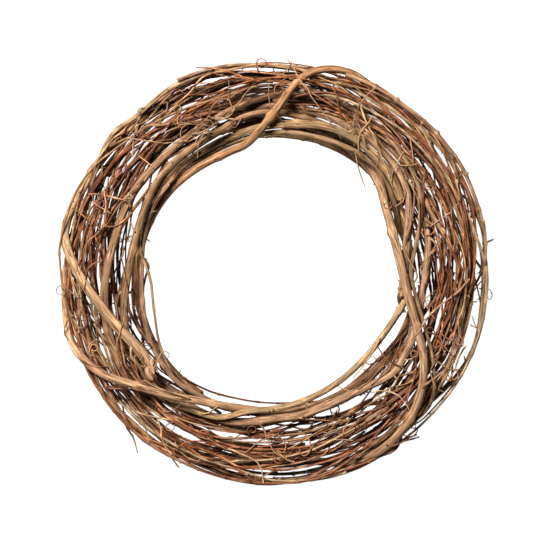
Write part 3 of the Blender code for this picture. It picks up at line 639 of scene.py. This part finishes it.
# Ends and loops that stand out of the ring's outline, and what carries on a cane that ends in a gap: by
# the vine each grows on, its thickness in mm and its course as (degrees round from +X, mm out, mm up)
STRAYS = {
    "outer_cane_bottom": (
        (2.2, ((302.8, 222, 30), (306.8, 228, 33), (311.5, 237, 34))),
        (1.8, ((238, 221, 37), (241, 226, 38), (244.3, 233, 35))),
        (1.3, ((264, 222, 30), (268, 226, 31), (273.3, 229, 31), (278, 225, 30), (283, 219, 33))),
        (1.2, ((308, 215, 32), (311, 222, 38), (312.5, 229, 39), (311, 232, 39), (309.5, 230, 38))),
    ),
    "outer_cane_right": (
        (2.6, ((7.6, 229, 30), (8, 235, 31), (8.4, 241, 31))),
        (1.2, ((354, 229, 30), (355.5, 234, 32), (354, 237, 33), (352.8, 235, 34), (353.5, 232, 34))),
        (1.1, ((344, 230, 30), (345.5, 224, 34), (347.5, 219, 36))),
        (3.7, ((283, 219.6, 19), (280, 219.9, 18.2), (277, 220, 17.5), (272, 220, 17), (266, 219, 19),
               (260, 217, 21), (255, 214, 22))),
    ),
    "outer_cane_top_left": (
        (1.1, ((118, 226, 35), (117, 218, 37), (115.5, 209, 39))),
        (4.2, ((116.4, 229.5, 42), (113.5, 228.5, 42), (110, 228, 42), (104.5, 227, 42), (99, 225, 42),
               (92, 222, 41))),
    ),
    "loose_end_lower_left": ((2.2, ((229, 232.6, 29.6), (231, 237, 28), (233.4, 244.5, 26))),),
    "pale_cane_inner": (
        (1.2, ((299, 137, 42), (301, 145, 44), (303, 151, 46))),
        (6.4, ((70, 152.5, 3.4), (74, 151.5, 6), (80, 150, 10), (88, 149, 15), (97, 149, 18))),
    ),
    "wrap_cane_right": (
        (8.2, ((97, 163, 4), (99.9, 163.4, 4.5), (103, 163.5, 7.5), (108, 163.5, 11), (113, 163.5, 13),
               (117, 163, 14))),
    ),
    "wrap_cane_top": (
        (5.2, ((70, 225.5, 45), (66, 225.5, 48), (60, 225.8, 49), (52, 225.2, 49.2), (43, 228, 48.3),
               (35, 229.4, 46), (28.6, 231, 43.5), (21, 230.3, 40.5), (15, 231, 36.5), (10, 230.3, 32))),
    ),
    "side_vine_33": (
        (2.2, ((274, 224.2, 20.5), (270, 224.2, 20.5), (266, 225, 21), (261, 226.5, 22), (256, 225, 24),
               (251, 222, 27))),
    ),
    "knotty_cane_right": (
        (7.0, ((353, 139.5, 38), (350, 139.5, 37), (348.4, 140.5, 28), (347, 142, 23), (345, 145, 20),
               (343, 149, 19))),
    ),
    "inner_cane_top": (
        (5.2, ((23, 147, 19.8), (20, 145.2, 18.2), (17, 145.7, 16.5), (12, 147.5, 13), (6, 149, 11),
               (0, 150, 9))),
    ),
    "inner_cane_left": (
        (4.8, ((143, 146, 43), (140, 146, 44), (137, 146, 43.2), (132, 147, 41), (126, 148, 40),
               (121, 150, 38))),
    ),
}
STRAY_POINTS = 16


def in_plan(angle, out):
    """A point in plan from its angle round the axis and its distance out."""
    return out * np.array([math.cos(angle), math.sin(angle)])


def curl_path(root, way, outward, rng):
    """A tendril: a stem that leaves its vine at a slant and bends over, then a coil that tightens.

    The coil at angle a is w(a) (1 - cos a) inward + w(a) sin a ahead, rising evenly, where its radius
    w(a) shrinks by about a quarter to a half in a turn and wavers by a tenth.
    """
    swing = rng.uniform(*PHASES)
    level = math.cos(swing) * way + math.sin(swing) * np.cross(outward, way)
    heading = unit(level * rng.uniform(0.8, 1.6) + outward)
    stem = rng.uniform(*STEM_LENGTH)
    share = np.linspace(0, 1, 7)[:, None]
    path = root + stem * (heading * share + (0.4 * level - 0.35 * outward) * share**2)
    ahead = unit(path[-1] - path[-2])
    axis = rng.uniform(-0.2, 1) * outward + rng.uniform(-1, 1) * level
    inward = unit(np.cross(axis, ahead) * rng.choice([-1, 1]))
    rise = np.cross(ahead, inward)
    rise *= np.sign(rise @ outward)
    angle = np.arange(COIL_STEP, rng.uniform(*COIL_TURNS) * TURN, COIL_STEP)[:, None]
    wide = rng.uniform(*COIL_RADIUS) * np.exp(-rng.uniform(0.25, 0.6) * angle / TURN)
    wide *= 1 + 0.1 * np.sin(rng.uniform(1.5, 3) * angle + rng.uniform(*PHASES))
    coil = wide[0] * inward - wide * np.cos(angle) * inward + wide * np.sin(angle) * ahead
    return np.vstack([path, path[-1] + coil + rng.uniform(*COIL_RISE) * angle / TURN * rise])


def grow_curls(thicket, owners):
    """Curls all over the face, each out of the vine that lies highest there, where it finds room."""
    rng = np.random.default_rng(CURL_SEED)
    for number in range(CURLS):
        for _ in range(CURL_TRIES):
            angle = TURN * (number * GOLDEN + rng.uniform(-0.02, 0.02))
            found = thicket.topmost(in_plan(angle, rng.uniform(*CURL_ROOTS)))
            if found is None:
                continue
            middle, way, thick, owner = found
            outward = np.array([*in_plan(angle, rng.uniform(-0.5, 0.5)), 1])
            outward = unit(outward - (outward @ way) * way)
            path = curl_path(middle + 0.5 * thick * outward, way, outward, rng)
            radius = tapered(rng.uniform(*CURL_THICKNESS), 1.1, 0.75, len(path))
            far = np.hypot(path[:, 0], path[:, 1])
            past = np.linalg.norm(path - path[0], axis=1) > thick + 1 * MM
            if path[:, 2].max() > HIGHEST or far.max() > CURLS_REACH:
                continue
            if thicket.gaps(path, radius)[past].min() > ROOM:
                owners[owner].grow(path, radius, tendril_relief)
                thicket.add(path, radius, owner)
                break


def laid_over(thicket, plan, radius, root):
    """A course in plan with its heights: at its start the root's, then the least that clears what lies
    under it, and as straight as it can be between the places where it rests."""
    path = np.column_stack([plan, np.full(len(plan), root)])
    rests = thicket.top(path, radius + ROOM)
    rests[0] = root
    height = rests.copy()
    for _ in range(STRAIGHTENED):
        height[1:-1] = np.maximum(rests[1:-1], (height[:-2] + height[2:]) / 2)
        height[-1] = max(rests[-1], 1.5 * height[-2] - 0.5 * height[-3])
    path[:, 2] = height
    return path


def grow_cross_twigs(thicket, owners):
    """Short twigs that leave a vine on the face and lie across its neighbours, slightly bent. They are
    cut short where they would reach out of the bundle."""
    rng = np.random.default_rng(CROSS_SEED)
    for number in range(CROSS_TWIGS):
        angle = TURN * (number * GOLDEN + 0.3)
        found = thicket.topmost(in_plan(angle, rng.uniform(*CROSS_ROOTS)))
        if found is None:
            continue
        middle, way, _, owner = found
        slant = rng.choice([-1, 1]) * rng.uniform(*CROSS_SLANT) + rng.choice([0, math.pi])
        count = int(rng.uniform(*CROSS_LENGTH) / CROSS_STEP) + 1
        bend = np.cumsum(rng.normal(0, 0.09, count)) + rng.uniform(-1.1, 1.1) * np.linspace(0, 1, count)
        heading = math.atan2(way[1], way[0]) + slant + bend
        steps = CROSS_STEP * np.stack([np.cos(heading), np.sin(heading)], axis=1)
        plan = middle[:2] + np.vstack([[0, 0], np.cumsum(steps, axis=0)])
        far = np.hypot(*plan.T)
        degrees = np.degrees(np.arctan2(plan[:, 1], plan[:, 0])) % 360
        inside = (far < FARTHEST) & (far > inner_edge(degrees) - 2 * MM)
        plan = plan[:len(plan) if inside.all() else int(np.argmin(inside))]
        if len(plan) < 6:
            continue
        radius = tapered(rng.uniform(*CROSS_THICKNESS), 1.1, 0.6, len(plan))
        path = laid_over(thicket, plan, radius, middle[2])
        if path[:, 2].max() < HIGHEST:
            owners[owner].grow(path, radius, twig_relief)
            thicket.add(path[1:], radius[1:], owner)


def grow_face_twigs(thicket, owners):
    """The twigs of the face above, each out of the vine that lies highest under its first point. Each
    rises by its own thickness towards its tip, so that it passes over itself where it curls."""
    for thickness, course in FACE_TWIGS:
        knots = np.array(course) * MM / SEEN_LARGER
        count = int(lengths_along(knots)[-1] / FACE_STEP) + 2
        plan = through(knots, count)
        found = thicket.topmost(plan[0])
        if found is None:
            continue
        middle, _, _, owner = found
        radius = tapered(thickness * MM, 1.15, 0.7, count)
        path = laid_over(thicket, plan, radius, middle[2])
        path[:, 2] += thickness * MM * np.linspace(0, 1, count)
        relief, bare = (twig_relief, 0.25) if thickness > STOUT_FACE_TWIG else (tendril_relief, 0.5)
        owners[owner].grow(path, radius, relief, bare)
        thicket.add(path[1:], radius[1:], owner)


def grow_torn_ends(named):
    """The torn ends above: a stub of bare wood, and splinters that stand out of the end's rim.

    A splinter leaves the rim at its own angle, runs on the way the vine did for 3 to 9 mm, leans out by
    up to a third of that, and comes to a point.
    """
    rng = np.random.default_rng(TORN_SEED)
    for name, at_last, thickness, ways in TORN_ENDS:
        path, radius = named[name].path(STRETCH)
        if not at_last:
            path, radius = path[::-1], radius[::-1]
        end, onward = path[-1], unit(path[-1] - path[-3])
        stub = through(end + np.array(ways) * MM, STUB_POINTS)
        named[name].grow(stub, tapered(thickness * MM, 1, 0.75, STUB_POINTS), torn_relief, 0.5)
        side = unit(np.cross(onward, (0, 0, 1)))
        run = np.linspace(-0.4, 1, 6)[:, None]
        for turn in rng.uniform(0, TURN, SPLINTERS):
            rim = math.cos(turn) * side + math.sin(turn) * np.cross(onward, side)
            length = rng.uniform(*SPLINTER_LENGTH)
            way = run * onward + 0.3 * rng.uniform() * run**2 * rim
            splinter = end + 0.7 * radius[-1] * rim + length * way
            thin = tapered(rng.uniform(*SPLINTER_THICKNESS), 1, 0.15, len(run))
            named[name].grow(splinter, thin, tendril_relief, 0.8)


def grow_spurs(thicket, owners):
    """Stubs of side shoots, 1.5 to 6 mm long and slightly bent, where there is room for them."""
    rng = np.random.default_rng(SPUR_SEED)
    left = SPURS
    for stretch in thicket.stretches[rng.permutation(len(thicket.stretches))[:4 * SPURS]]:
        start, end, thick, owner = stretch[:3], stretch[3:6], stretch[6], int(stretch[7])
        if thick < 1 * MM:
            continue
        way = unit(end - start)
        outward = unit(np.cross(way, unit(rng.normal(0, 1, 3))))
        length = thick + rng.uniform(*SPUR_LENGTH)
        lean = rng.choice([-1, 1]) * rng.uniform(*SPUR_LEAN)
        run = np.linspace(0, 1, 5)[:, None]
        path = start + length * run * unit(outward + lean * way) + 0.15 * length * run**2 * outward
        radius = min(0.45 * thick, SPUR_RADIUS) * np.linspace(1.6, 0.7, 5)
        far = math.hypot(path[-1, 0], path[-1, 1])
        if not (NEAREST < far < FARTHEST and 1 * MM <= path[-1, 2] <= HIGHEST):
            continue
        if thicket.gaps(path[3:], radius[3:]).min() < 2 * ROOM:
            continue
        owners[owner].grow(path, radius, tendril_relief)
        left -= 1
        if left == 0:
            break


def grow_strays(named):
    """The strays above, each on its own vine."""
    for name, strays in STRAYS.items():
        for thickness, course in strays:
            degrees, out, up = np.transpose(course)
            path = through(in_space(np.radians(degrees), np.stack([out, up], axis=1) * MM), STRAY_POINTS)
            named[name].grow(path, tapered(thickness * MM, 1.15, 0.7, STRAY_POINTS), twig_relief)


# Skins. They keep clear of the surface below, and vines turn a little at their knots

LOWEST = 0.1 * MM
KINK = 0.4 * MM
SHARP = math.radians(70)


def closed_round(index):
    """The faces between the rows of a grid of corners, each row being closed round on itself."""
    onward = np.roll(index, -1, axis=1)
    return np.stack([index[:-1], onward[:-1], onward[1:], index[1:]], axis=2).reshape(-1, 4)


class Skin:
    """The surface of one piece, gathered tube by tube: corners, faces, and for each corner its place on
    the bark (metres along, and two across), the vine's own shade, how far the bark swells there as a
    share of the radius, and how bare of bark it is."""

    def __init__(self):
        self.corners, self.bark, self.shade, self.swell, self.bare = [], [], [], [], []
        self.quads, self.triangles = [], []
        self.count = 0

    def add(self, grid, bark, shade, swell, bare):
        """A tube from its grid of corners, (rings, sides, 3), closed by a fan at each end."""
        rings, sides = grid.shape[:2]
        index = self.count + np.arange(rings * sides).reshape(rings, sides)
        self.quads.append(closed_round(index))
        tips = self.count + rings * sides + np.arange(2)
        first, last = index[0], index[-1]
        for tip, one, other in zip(tips, (np.roll(first, -1), last), (first, np.roll(last, -1))):
            self.triangles.append(np.stack([np.full(sides, tip), one, other], axis=1))
        self.corners += [grid.reshape(-1, 3), grid[[0, -1]].mean(axis=1)]
        self.bark += [bark.reshape(-1, 3), bark[[0, -1]].mean(axis=1)]
        self.shade.append(np.full(rings * sides + 2, shade))
        self.swell += [swell.ravel(), np.ones(2)]
        self.bare += [bare.ravel(), np.ones(2)]
        self.count += rings * sides + 2

    def mesh(self, name):
        """The surface as a mesh, smooth but for edges sharper than SHARP."""
        quads, triangles = np.concatenate(self.quads), np.concatenate(self.triangles)
        mesh = bpy.data.meshes.new(name)
        corners = np.concatenate(self.corners).tolist()
        mesh.from_pydata(corners, [], quads.tolist() + triangles.tolist())
        place = mesh.attributes.new("bark", "FLOAT_VECTOR", "POINT")
        place.data.foreach_set("vector", np.concatenate(self.bark).ravel())
        for key, parts in (("shade", self.shade), ("swell", self.swell), ("bare", self.bare)):
            mesh.attributes.new(key, "FLOAT", "POINT").data.foreach_set("value", np.concatenate(parts))
        mesh.shade_smooth()
        mesh.set_sharp_from_angle(angle=SHARP)
        return mesh


def tube(skin, path, radius, sides, relief, shade, rng, level=None, bare=0.0):
    """A round profile carried along a path, into a skin.

    The corner at length u and angle v round is path(u) + radius(u) relief(u, v) (cos v side + sin v
    other). side is the given level direction, or else the one in which the path spreads least, with
    what lies along the path taken off it, and other is square to both. The end rings slope by 0.35 of
    the radius, for a slanting cut, and are jagged by 0.3 of it.
    """
    along = unit(np.gradient(path, axis=0))
    if level is None:
        level = np.linalg.svd(path - path.mean(axis=0), full_matrices=False)[2][2]
    side = unit(level - (level * along).sum(axis=-1, keepdims=True) * along)
    other = np.cross(along, side)
    around = TURN * np.arange(sides) / sides
    run = lengths_along(path)
    spokes = np.cos(around)[None, :, None] * side[:, None] + np.sin(around)[None, :, None] * other[:, None]
    swell = relief(run, around, rng)
    grid = path[:, None] + (radius[:, None] * swell)[:, :, None] * spokes
    for end, sign in ((0, -1), (-1, 1)):
        ragged = 0.35 * np.cos(around - rng.uniform(*PHASES)) + 0.3 * rng.uniform(-1, 1, sides)
        grid[end] += sign * (radius[end] * ragged)[:, None] * along[end]
    grid[:, :, 2] = np.maximum(grid[:, :, 2], LOWEST)
    far = np.broadcast_to((run + rng.uniform(0, 50))[:, None], grid.shape[:2])
    bark = np.stack([far, radius[:, None] * np.cos(around), radius[:, None] * np.sin(around)], axis=2)
    skin.add(grid, bark, shade, swell, np.full(grid.shape[:2], bare))


def kinked(path, rng, thickness):
    """The path with slight zigzags, as a vine turns a little at each of its knots, 6 to 14 times its
    thickness apart."""
    run = lengths_along(path)
    spots = np.concatenate([[0], np.cumsum(rng.uniform(6, 14, 120) * thickness)])
    shifts = rng.normal(0, min(KINK, 0.25 * thickness), (len(spots), 3))
    return path + np.stack([np.interp(run, spots, shifts[:, axis]) for axis in range(3)], axis=1)


# Materials


def colour(code):
    """A linear colour from an sRGB hex value."""
    parts = [int(code[place:place + 2], 16) / 255 for place in (1, 3, 5)]
    return (*(p / 12.92 if p <= 0.04045 else ((p + 0.055) / 1.055) ** 2.4 for p in parts), 1)


def add(tree, kind, inputs=(), output=0, **settings):
    """Adds a node with its settings, gives each of its inputs a value or a link from another node's
    output, and returns the output that is asked for."""
    node = tree.nodes.new("ShaderNode" + kind)
    for name, value in settings.items():
        setattr(node, name, value)
    for name, value in dict(inputs).items():
        if isinstance(value, bpy.types.NodeSocket):
            tree.links.new(value, node.inputs[name])
        else:
            node.inputs[name].default_value = value
    return node.outputs[output]


# The noises of the bark, each as its width, its width over its length, its detail and its roughness:
# fibres, which are about 0.4 mm wide and drawn 1.6 mm wide so that they show; cracks, about 1 mm wide
# and 20 mm long; and blotches of weathering, 9 mm wide and 20 mm long
NOISES = ((1.6 * MM, 0.1, 3, 0.6), (1.1 * MM, 0.05, 1, 0.5), (9 * MM, 0.45, 2, 0.5))


def bark(name, roughness, *colours):
    """Bark of a dried vine: long fibres darker in their grooves, cracks, blotches and knots, and each vine
    of its own shade and hue, with painted shade deep in the bundle, on its sides and in its flutes, and
    painted light on its knots.

    Its colours are those of the grooves, the bark, the ridges, the weathered blotches and the bare wood,
    and the painted shade that tones it down towards the bundle's bottom.
    """
    dark, middle, light, tint, wood, painted_core_shade = map(colour, colours)
    material = bpy.data.materials.new(name)
    material.use_nodes = True
    tree = material.node_tree
    shader = tree.nodes["Principled BSDF"]
    place = add(tree, "Attribute", output="Vector", attribute_name="bark")
    shade, swell, bare = (add(tree, "Attribute", output="Fac", attribute_name=key)
                          for key in ("shade", "swell", "bare"))
    noises = []
    for width, over_length, detail, rough in NOISES:
        drawn = add(tree, "VectorMath", {0: place, 1: (over_length, 1, 1)}, operation="MULTIPLY")
        noises.append(add(tree, "TexNoise", {"Vector": drawn, "Scale": 1 / width, "Detail": detail,
                                             "Roughness": rough}))
    fibre, split, blotch = noises
    groove, ridge, weather, crack = (
        add(tree, "MapRange", {"Value": noise, "From Min": low, "From Max": high, "To Max": most})
        for noise, low, high, most in ((fibre, 0.32, 0.5, 1), (fibre, 0.54, 0.72, 1),
                                       (blotch, 0.45, 0.7, 1), (split, 0.6, 0.66, 0.65)))
    tone = dark
    for share, over in ((groove, middle), (ridge, light), (weather, tint), (crack, dark)):
        tone = add(tree, "Mix", {"Factor": share, 6: tone, 7: over}, 2, data_type="RGBA")
    # Painted shade and light: the bark is darkened in its flutes and lightened on its knots, by how far its
    # skin swells there
    flute_shade = add(tree, "MapRange", {"Value": swell, "From Min": 0.88, "From Max": 1.1, "To Min": 0.62,
                                    "To Max": 1.12})
    tone = add(tree, "VectorMath", {0: tone, 3: flute_shade}, operation="SCALE")
    grain = add(tree, "Mix", {"Factor": groove, 6: dark, 7: wood}, 2, data_type="RGBA")
    tone = add(tree, "Mix", {"Factor": bare, 6: tone, 7: grain}, 2, data_type="RGBA")
    # Painted shade: deep in the bundle the bark is darkened and reddened, by how far it lies from the
    # line 10 mm under the bundle's middle, 14 mm being deep and 62 mm the surface
    point = add(tree, "TexCoord", output="Object")
    out = add(tree, "VectorMath", {0: point, 1: (1, 1, 0)}, operation="MULTIPLY")
    out = add(tree, "VectorMath", {0: out}, "Value", operation="LENGTH")
    point = add(tree, "CombineXYZ", {"X": out, "Y": add(tree, "SeparateXYZ", {"Vector": point}, "Z")})
    far = add(tree, "VectorMath", {0: point, 1: (MIDDLE_OUT, -10 * MM, 0)}, "Value", operation="DISTANCE")
    core_shading = add(tree, "MapRange", {"Value": far, "From Min": 14 * MM, "From Max": 62 * MM})
    core_shading = add(tree, "Mix", {"Factor": core_shading, 6: painted_core_shade, 7: (1, 1, 1, 1)}, 2, data_type="RGBA")
    tone = add(tree, "VectorMath", {0: tone, 1: core_shading}, operation="MULTIPLY")
    # Painted shade: a vine's sides, which face its neighbours, are darkened against its top, by how far its
    # normal turns from up
    facing = add(tree, "SeparateXYZ", {"Vector": add(tree, "NewGeometry", output="Normal")}, "Z")
    facing = add(tree, "MapRange", {"Value": facing, "From Min": -0.1, "From Max": 0.6, "To Min": 0.55})
    tone = add(tree, "VectorMath", {0: tone, 3: facing}, operation="SCALE")
    # Hue and depth of colour go their own way from vine to vine: the fractions of 5 and 11 shades
    hue_and_depth = []
    for times, least, most in ((5, 0.496, 0.504), (11, 0.9, 1.08)):
        own = add(tree, "Math", {0: shade, 1: times}, operation="MULTIPLY")
        own = add(tree, "Math", {0: own}, operation="FRACT")
        hue_and_depth.append(add(tree, "MapRange", {"Value": own, "To Min": least, "To Max": most}))
    hue, depth = hue_and_depth
    level = add(tree, "MapRange", {"Value": shade, "To Min": 0.65, "To Max": 1.3})
    tone = add(tree, "HueSaturation", {"Hue": hue, "Saturation": depth, "Value": level, "Color": tone})
    relief = add(tree, "Bump", {"Height": fibre, "Distance": 0.4 * MM, "Strength": 0.5})
    tree.links.new(tone, shader.inputs["Base Color"])
    tree.links.new(relief, shader.inputs["Normal"])
    shader.inputs["Roughness"].default_value = roughness
    shader.inputs["Specular IOR Level"].default_value = 0.12
    return material


# The last colour of each bark is the painted shade that darkens and reddens it deep in the bundle
BARKS = {
    # Dry and matt, in fibrous tan strips between dark cracks
    "tan_bark": bark("dry fibrous bark, tan", 0.8,
                     "#2C1408", "#906D4F", "#BA9A7B", "#806046", "#98694A", "#9A6E42"),
    # Stripped and weathered, matt, and paler with a tinge of green
    "pale_bark": bark("dry stripped bark, pale", 0.75,
                      "#38200E", "#987957", "#C6A886", "#867258", "#8C5C3C", "#BC9E78"),
    # Smooth and close, reddish brown, with a slight sheen along the light
    "red_bark": bark("dry smooth bark, reddish brown", 0.6,
                     "#200A02", "#7C4E34", "#B28868", "#603820", "#A87A5A", "#6E401E"),
}


def put(name, data):
    """A new object in the scene."""
    thing = bpy.data.objects.new(name, data)
    bpy.context.scene.collection.objects.link(thing)
    return thing


def show(name, skin, slot, replaced=None):
    """Makes a skin a piece of the wreath, with its bark."""
    mesh = skin.mesh(name)
    mesh.materials.append(BARKS[slot])
    piece = put(name, mesh)
    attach(piece, "root")
    if replaced:
        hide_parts(replaced)


# Canes whose bark is darker in the photo than most of their kind: their shades, from 0 to 1
SHADES = {"broken_cane_top_right": 0.26, "inner_cane_top": 0.25, "forked_cane_right": 0.24}

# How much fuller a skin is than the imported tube, which is faceted, and those of the wrapping canes
FULLNESS = 1.03
WRAP_FULLNESS = 1.12

# How finely tubes are drawn, each row as the radius above which it holds, the rings' spacing and the
# corners round. A vine above CANE in radius has a cane's relief
CANE = 2.1 * MM
VINES_DRAWN = ((3 * MM, 2.2 * MM, 22), (CANE, 2.6 * MM, 14), (0, 2.6 * MM, 10))
TWIGS_DRAWN = ((0, 3.0 * MM, 8),)
GROWTHS_DRAWN = ((1.6 * MM, 1.2 * MM, 14), (0, 1.8 * MM, 6))


def fineness(radius, drawn):
    """The rings' spacing and the corners round for a tube's greatest radius."""
    return next((spacing, sides) for above, spacing, sides in drawn if radius.max() > above)


def dress(vine, skin, rng):
    """A vine's or twig's tube, and a finer tube for each thing that grows out of it, into a skin."""
    thickest = vine.radius.max()
    spacing, sides = fineness(vine.radius, VINES_DRAWN if vine.name else TWIGS_DRAWN)
    path, radius = vine.path(spacing)
    path = kinked(path, rng, 2 * thickest)
    drawn = rng.uniform(0, 1)
    shade = SHADES.get(vine.name, drawn)
    relief = cane_relief if thickest > CANE else twig_relief
    fullness = WRAP_FULLNESS if vine.name and vine.name.startswith("wrap_cane") else FULLNESS
    tube(skin, path, fullness * radius, sides, relief, shade, rng, level=unit(path * (1, 1, 0)))
    for path, radius, relief, bare in vine.growths:
        spacing, sides = fineness(radius, GROWTHS_DRAWN)
        path, radius = evenly(path, radius, spacing)
        path = kinked(path, rng, 2 * radius.max())
        own_shade = np.clip(shade + rng.uniform(-0.2, 0.35), 0, 1)
        tube(skin, path, radius, sides, relief, own_shade, rng, bare=bare)


SLOTS = {entry["node"]: entry["material_slot"] for entry in frame["record"]["subparts"]}
TWIG_SLOTS = ("red_bark", "red_bark", "tan_bark", "red_bark", "red_bark", "pale_bark")
TWIG_GROUPS = 2
# Where the random draws of the vines' skins and of the twigs' start
VINE_SKINS = 1000
TWIG_SKINS = 2000

vines = [read_vine(name, obj.data) for name, obj in frame["nodes"].items()]
rng = np.random.default_rng(TWIG_SEED)
twigs = [twig(number, rng) for number in range(TWIGS)]
lay_in([vine.at_fine_stations() for vine in vines], twigs)

everything = vines + twigs
thicket = Thicket()
for number, vine in enumerate(everything):
    thicket.add(*vine.path(STRETCH), number)
    for path, radius, _, _ in vine.growths:
        thicket.add(path, radius, number)
named = {vine.name: vine for vine in vines}
grow_strays(named)
grow_torn_ends(named)
grow_face_twigs(thicket, everything)
grow_curls(thicket, everything)
grow_cross_twigs(thicket, everything)
grow_spurs(thicket, everything)

for number, vine in enumerate(vines):
    skin = Skin()
    dress(vine, skin, np.random.default_rng(VINE_SKINS + number))
    show(vine.name + "_bark", skin, SLOTS[vine.name], vine.name)
skins = {(slot, group): Skin() for slot in sorted(set(TWIG_SLOTS)) for group in range(TWIG_GROUPS)}
for number, vine in enumerate(twigs):
    skin = skins[TWIG_SLOTS[number % len(TWIG_SLOTS)], number // len(TWIG_SLOTS) % TWIG_GROUPS]
    dress(vine, skin, np.random.default_rng(TWIG_SKINS + number))
for (slot, group), skin in skins.items():
    show(f"thin_twigs_{slot.split('_')[0]}_{group + 1}", skin, slot)


# Floor, light and camera

IMAGE = 540
PIXEL = 1.075 * MM
LENS = 85
AIM = (-3.2 * MM, 2.15 * MM, 35 * MM)
FLOOR_PROFILE = np.array([(0.02, 0), (1.0, 0), (5.0, 0), (5.5, 0.12), (6.0, 0.5), (6.5, 1.5)])
FLOOR_SIDES = 64


def stage():
    """A pale floor lit to plain white: a flat disc that rises to a low rim far off, so that it also fills
    a view from the side. Its profile of (out, up) is turned about the axis."""
    turned = [in_space(angle, FLOOR_PROFILE) for angle in TURN * np.arange(FLOOR_SIDES) / FLOOR_SIDES]
    grid = np.stack(turned, axis=1)
    index = np.arange(grid.size // 3).reshape(grid.shape[:2])
    mesh = bpy.data.meshes.new("floor")
    faces = closed_round(index)[:, ::-1].tolist() + [index[0].tolist()]
    mesh.from_pydata(grid.reshape(-1, 3).tolist(), [], faces)
    material = bpy.data.materials.new("white light table")
    material.use_nodes = True
    shader = material.node_tree.nodes["Principled BSDF"]
    shader.inputs["Base Color"].default_value = colour("#707070")
    shader.inputs["Roughness"].default_value = 0.9
    shader.inputs["Emission Color"].default_value = (1, 1, 1, 1)
    shader.inputs["Emission Strength"].default_value = 1.0
    mesh.materials.append(material)
    floor = put("floor", mesh)


def soft_light(name, place, size, power, tint):
    """A square soft box that faces the wreath."""
    lamp = bpy.data.lights.new(name, "AREA")
    lamp.size, lamp.energy, lamp.color = size, power, colour(tint)[:3]
    box = put(name, lamp)
    box.location = place
    box.rotation_euler = (-box.location).to_track_quat("-Z", "Y").to_euler()


def camera():
    """Straight above the wreath, its top up, so that a pixel of the image is 1.075 mm on it."""
    lens = bpy.data.cameras.new("camera")
    lens.lens, lens.sensor_width = LENS, 36
    eye = put("camera", lens)
    eye.location = (AIM[0], AIM[1], AIM[2] + IMAGE * PIXEL * LENS / lens.sensor_width)
    bpy.context.scene.camera = eye


stage()
soft_light("key", (-0.6, 0.8, 1.3), 0.6, 86, "#FFFAF4")
soft_light("fill", (0.9, -0.5, 1.3), 1.0, 1.0, "#FFE8D4")
world = bpy.data.worlds.new("studio")
world.use_nodes = True
background = world.node_tree.nodes["Background"]
background.inputs["Color"].default_value = colour("#FFEEDD")
background.inputs["Strength"].default_value = 0.01
bpy.context.scene.world = world
bpy.context.scene.view_settings.view_transform = "Standard"
camera()
